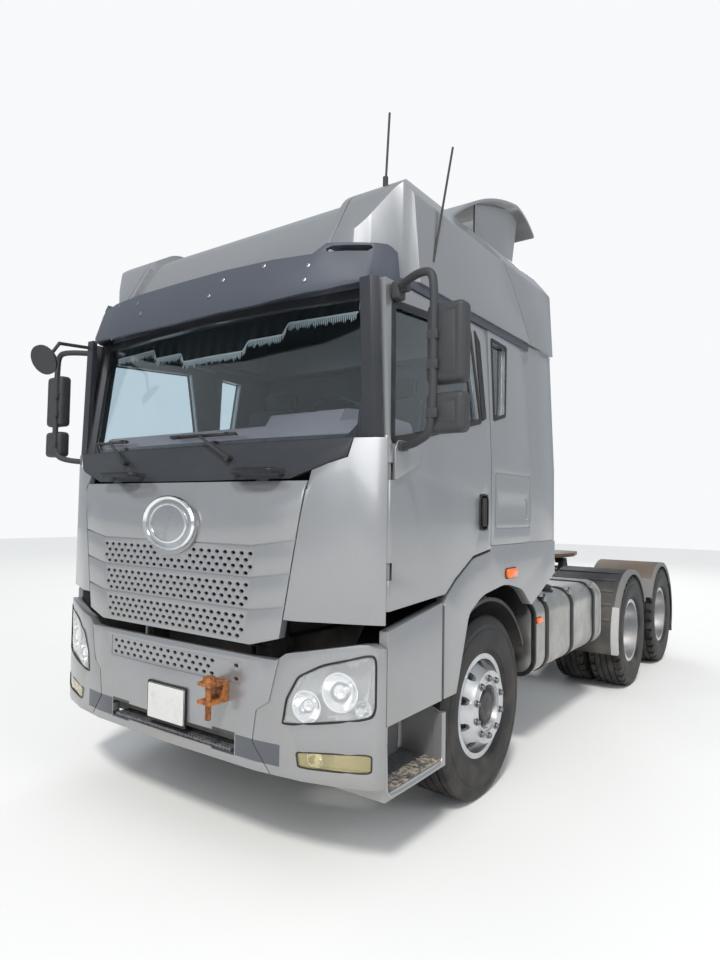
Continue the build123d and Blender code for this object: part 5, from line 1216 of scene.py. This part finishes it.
def makeMarkers():
    for label, (node, y, z, halfY, halfZ, body) in markers.items():
        x = onNode(node, (1.6, y, z), (-1, 0, 0))[0].x
        base = addPlate("marker_base_%s_left" % label,
                        rect((x - 0.002, y - halfY, z - halfZ), (x - 0.002, y + halfY, z + halfZ)),
                        (0.006, 0, 0), halfZ * 0.6)
        lensY, lensZ = halfY * 0.9, halfZ * 0.84
        lens = addPlate("marker_lens_%s_left" % label,
                        rect((x + 0.003, y - lensY, z - lensZ), (x + 0.003, y + lensY, z + lensZ)),
                        (0.014, 0, 0), halfZ * 0.5, 0.006, (0.003, 0, 0))
        end = endBoth if label == "fender" else endPiece
        end(base, body, "dark_plastic", "gasket", 0.002)
        end(lens, body, "tail_lamp", "amberCap", 0.002)


def makeGrips():
    z = gripForm["z"]
    for label in ("right", "left"):
        x0, x1 = gripForm[label]
        y0, y1 = (onFront("cowl_panel", x, z)[0].y for x in (x0, x1))
        y = min(y0, y1) - 0.034
        points = [(x0, y0 + 0.004, z), (x0 + 0.008, y0 - 0.026, z), (x0 + 0.045, y, z), (x1 - 0.045, y, z),
                  (x1 - 0.008, y1 - 0.026, z), (x1, y1 + 0.004, z)]
        endPiece(addTube("grip_" + label, points, gripForm["radius"]), "cab", "dark_plastic", "gasket")


makeTreads()
makeTankTrim()
makeMarkers()
makeGrips()
print("fittings made")

# liners over the front wheels, backs of the steps
linerForm = {
    "radius": 0.640, "skin": 0.005, "span": 64, "x": (0.600, 1.186), "steps": 24, "ribs": (0.72, 0.90, 1.08),
    "side": [(0.600, -0.640, 1.120), (0.600, 0.500, 1.120), (0.600, 0.500, 1.498), (0.600, -0.560, 1.498),
             (0.600, -0.640, 1.330)],
    "back": ((0.470, 0.668, 1.000), (1.172, 0.668, 1.500)),
}
stepBackForm = {
    "y": -0.636, "outline": [(0.965, 0.400), (1.234, 0.400), (1.234, 0.655), (1.150, 0.690), (0.965, 0.728)],
    "nose": [(1.231, -1.168, 0.640), (1.236, -1.168, 0.500), (1.234, -1.160, 0.408), (1.234, -1.080, 0.396),
             (1.234, -0.900, 0.396), (1.234, -0.700, 0.396), (1.234, -0.632, 0.410), (1.230, -0.620, 0.520),
             (1.230, -0.620, 0.648)],
}


def arcPoints(radius, x):
    points = []
    for index in range(linerForm["steps"] + 1):
        turn = math.radians(linerForm["span"] * (2 * index / linerForm["steps"] - 1))
        points.append((x, radius * math.sin(turn), axleHeight + radius * math.cos(turn)))
    return points


def makeLiners():
    form = linerForm
    (x0, x1), inside, outside = form["x"], form["radius"], form["radius"] + form["skin"]
    rows = [(x0, x1, inside, outside)]
    rows += [(x - 0.012, x + 0.012, outside - 0.001, inside + 0.014) for x in form["ribs"]]
    rows.append((x1 - 0.004, x1, inside - 0.018, outside))
    parts = [addPlate("arc", arcPoints(outer, a) + arcPoints(inner, a)[::-1], (b - a, 0, 0))
             for a, b, inner, outer in rows]
    parts.append(addPlate("wellSide", form["side"], (-0.006, 0, 0), 0.03, 0.03, (0.003, 0, 0)))
    parts.append(addPlate("wellBack", rect(*form["back"]), (0, 0.006, 0), 0.03, 0.03, (0, -0.003, 0)))
    endBoth(joinAll("wheel_liner_left", parts), "cab", "dark_plastic", "dark")


def makeStepBacks():
    # made in its place, because the nose's facets turn by just the angle where the bevel starts
    outline = [(x, axle + stepBackForm["y"], z) for x, z in stepBackForm["outline"]]
    back = addPlate("stepBack", outline, (0, 0.012, 0), 0.02)
    nose = addTube("stepNose", [(x, axle + y, z) for x, y, z in stepBackForm["nose"]], 0.0105)
    piece = joinAll("step_back_left", [back, nose])
    endBoth(piece, "chassis", "body_paint", "paint", 0.002, way=Matrix())


makeLiners()
makeStepBacks()
print("liners and step backs made")

# ribs on the first rear guard, coupling sockets behind the cab
guardForm = {"radius": 0.602, "ribs": (16, 30, 44, 58, 72), "x": (0.56, 1.17)}
boardForm = {
    "corners": ((-0.26, 0.561, 1.56), (0.26, 0.561, 1.70)), "sockets": (-0.18, -0.06, 0.06, 0.18),
    "socket": [(0, 0), (0, 0.030), (0.010, 0.032), (0.030, 0.026), (0.046, 0.026), (0.048, 0.020),
               (0.036, 0.018), (0.036, 0)],
}


def makeGuardRibs():
    x0, x1 = guardForm["x"]
    parts = []
    for angle in guardForm["ribs"]:
        turn = math.radians(angle)
        place = (0, rearRows["mid"] - guardForm["radius"] * math.cos(turn),
                 axleHeight + guardForm["radius"] * math.sin(turn))
        rib = addBox("rib", (x0, -0.014, -0.005), (x1, 0.014, 0.006), 0.004)
        parts.append(move(rib, Matrix.Translation(place) @ Matrix.Rotation(math.pi / 2 - turn, 4, "X")))
    endBoth(joinAll("guard_ribs_left", parts), "chassis", "guard_plastic", "dark")


def makeServiceBoard():
    parts = [addPlate("board", rect(*boardForm["corners"]), (0, 0.012, 0), 0.02, 0.010, (0, -0.003, 0))]
    for x in boardForm["sockets"]:
        parts.append(move(addSpun("socket", boardForm["socket"], 24), toward((x, 0.570, 1.63), (0, 1, 0))))
    endPiece(joinAll("service_board", parts), "cab", "dark_plastic", "dark")


makeGuardRibs()
makeServiceBoard()
print("guard ribs and service board made")

# wiper blades and door handles
bladeForm = {"right": (-1.010, -0.640, 2.100), "left": (-0.200, 0.330, 2.096)}
handleForm = {"y": -0.180, "z": 1.697, "x": (1.236, 1.2545), "half": (0.027, 0.082), "rimX": 1.2445,
              "rimHalf": (0.060, 0.106),
              "lock": [(0, 0), (0, 0.011), (0.004, 0.011), (0.006, 0.008), (0.006, 0)]}


def makeBlades():
    for label, (x0, x1, z) in bladeForm.items():
        xs = [x0 + (x1 - x0) * index / 8 for index in range(9)]
        points = [(x, screenY(x, z) - 0.012, z) for x in xs]
        spine = addTube("spine", [(x, y - 0.010, z) for x, y, z in points], 0.0055)
        lip = addTube("lip", [(x, y + 0.003, z - 0.006) for x, y, z in points], 0.0040)
        clips = [addBox("clip", (x - 0.012, y - 0.022, z - 0.010), (x + 0.012, y + 0.002, z + 0.008), 0.003)
                 for x, y, z in (points[1], points[4], points[7])]
        endPiece(joinAll("wiper_blade_" + label, [spine, lip] + clips), "cab", "dark_plastic", "gasket")


def makeHandles():
    form = handleForm
    y, z, (x0, x1), (halfY, halfZ), (rimY, rimZ) = (form[k] for k in ("y", "z", "x", "half", "rimHalf"))
    grip = addBox("grip", (x0, y - halfY, z - halfZ), (x1, y + halfY, z + halfZ), 0.007)
    stepFaces(grip, lambda face: face.normal.x > 0.95 and face.area > 0.002, (0.008, (-0.0025, 0, 0)))
    corners = rect((form["rimX"], y - rimY, z - rimZ), (form["rimX"], y + rimY, z + rimZ))
    rim = addFrame("handleRim", corners, 0.009, (0.004, 0, 0), 0.045)
    lock = move(addSpun("lock", form["lock"], 20), toward((1.2235, y, z - 0.092), (1, 0, 0)))
    endBoth(joinAll("door_handle_left", [grip, rim, lock]), "door_left", "dark_plastic", "gasket", 0.001)


makeBlades()
makeHandles()
print("blades and handles made")

# dark mesh behind the lid's holes, lamps on the rear bar, dark panel behind the bumper's slot
meshForm = [(-0.600, -1.376, 1.070), (0.600, -1.376, 1.070), (0.622, -1.376, 1.515), (-0.622, -1.376, 1.515)]
rearLampForm = {"x": (0.760, 1.115), "y": 5.493, "z": (0.612, 0.708),
                "cells": {"redLens": (0.0, 0.42), "amberCap": (0.44, 0.70), "lens": (0.72, 1.0)}}
slotForm = ((-0.860, -1.176, 0.440), (0.860, -1.176, 0.740))


def makeRearLamps():
    (x0, x1), y, (z0, z1) = (rearLampForm[k] for k in "xyz")
    for look, shares in rearLampForm["cells"].items():
        a, b = (x0 + (x1 - x0) * share for share in shares)
        cell = addPlate("rear_lamp_%s_left" % look, rect((a, y, z0), (b, y, z1)), (0, 0.005, 0),
                        0.012, 0.008, (0, 0.001, 0))
        endBoth(cell, "chassis", "tail_lamp", look, 0.001)


grilleMesh = addPlate("grille_mesh", meshForm, (0, 0.006, 0), 0.02, 0.02, (0, 0.002, 0))
endPiece(grilleMesh, "front_lid", "dark_plastic", "fins")
makeRearLamps()
slotBack = addPlate("bumper_slot_back", rect(*slotForm), (0, 0.005, 0), 0.02, 0.02, (0, -0.002, 0))
endPiece(slotBack, "chassis", "dark_plastic", "fins")
print("grille mesh, rear lamps and slot panel made")

# studio
studio = {"floorSize": 60.0, "floor": (0.80, 0.80, 0.79), "seen": (0.94, 0.95, 0.96),
          "lit": (0.86, 0.93, 1.0)}
# lamps: kind, place, what it points at, power, size or angle
lamps = {"sun": ("SUN", (4, -8, 12), (0, 0, 1), 2.2, math.radians(9)),
         "softFront": ("AREA", (3, -13, 7), (0, -2, 1.5), 500, 7),
         "softSide": ("AREA", (13, -2, 7), (0, 0, 1.5), 420, 7),
         "softRear": ("AREA", (-7, 12, 8), (0, 1, 1.5), 500, 7)}


def addFloor():
    clearPick()
    bpy.ops.mesh.primitive_plane_add(size=studio["floorSize"], location=(0, 0, 0))
    floor = bpy.context.object
    floor.name = "studioFloor"
    tree, shader, coords = newMaterial("floor", "paleFloor", {"Roughness": 0.75})
    pale = studio["floor"]
    tone = blend(tree, noiseAt(tree, coords, 0.8, 4), pale, tuple(0.97 * c for c in pale))
    tree.links.new(tone, shader["Base Color"])
    setMaterial(floor, finish["floor"])


def addWorld():
    world = bpy.data.worlds.new("paleStudio")
    bpy.context.scene.world = world
    world.use_nodes = True
    tree = world.node_tree
    tree.nodes.clear()
    lit = addNode(tree, "ShaderNodeBackground", Strength=0.55, Color=studio["lit"])
    seen = addNode(tree, "ShaderNodeBackground", Strength=1.0, Color=studio["seen"])
    rays = tree.nodes.new("ShaderNodeLightPath").outputs
    straight = reckon(tree, "MAXIMUM", rays["Is Camera Ray"], rays["Is Transmission Ray"])
    mix = tree.nodes.new("ShaderNodeMixShader")
    for socket, value in zip(mix.inputs, (straight, lit.outputs[0], seen.outputs[0])):
        tree.links.new(value, socket)
    tree.links.new(mix.outputs[0], tree.nodes.new("ShaderNodeOutputWorld").inputs["Surface"])


def addLamp(name, kind, place, aim, power, size):
    bpy.ops.object.light_add(type=kind, location=place)
    lamp = bpy.context.object
    lamp.name = name
    lamp.data.energy = power
    if kind == "AREA":
        lamp.data.shape = "SQUARE"
        lamp.data.size = size
    else:
        lamp.data.angle = size
        lamp.data.color = (1.0, 0.97, 0.92)
    lamp.rotation_euler = (Vector(aim) - Vector(place)).to_track_quat("-Z", "Y").to_euler()


addCamera(cameraView)
addFloor()
addWorld()
for name, row in lamps.items():
    addLamp(name, *row)
scene = bpy.context.scene
scene.view_settings.view_transform = "Standard"
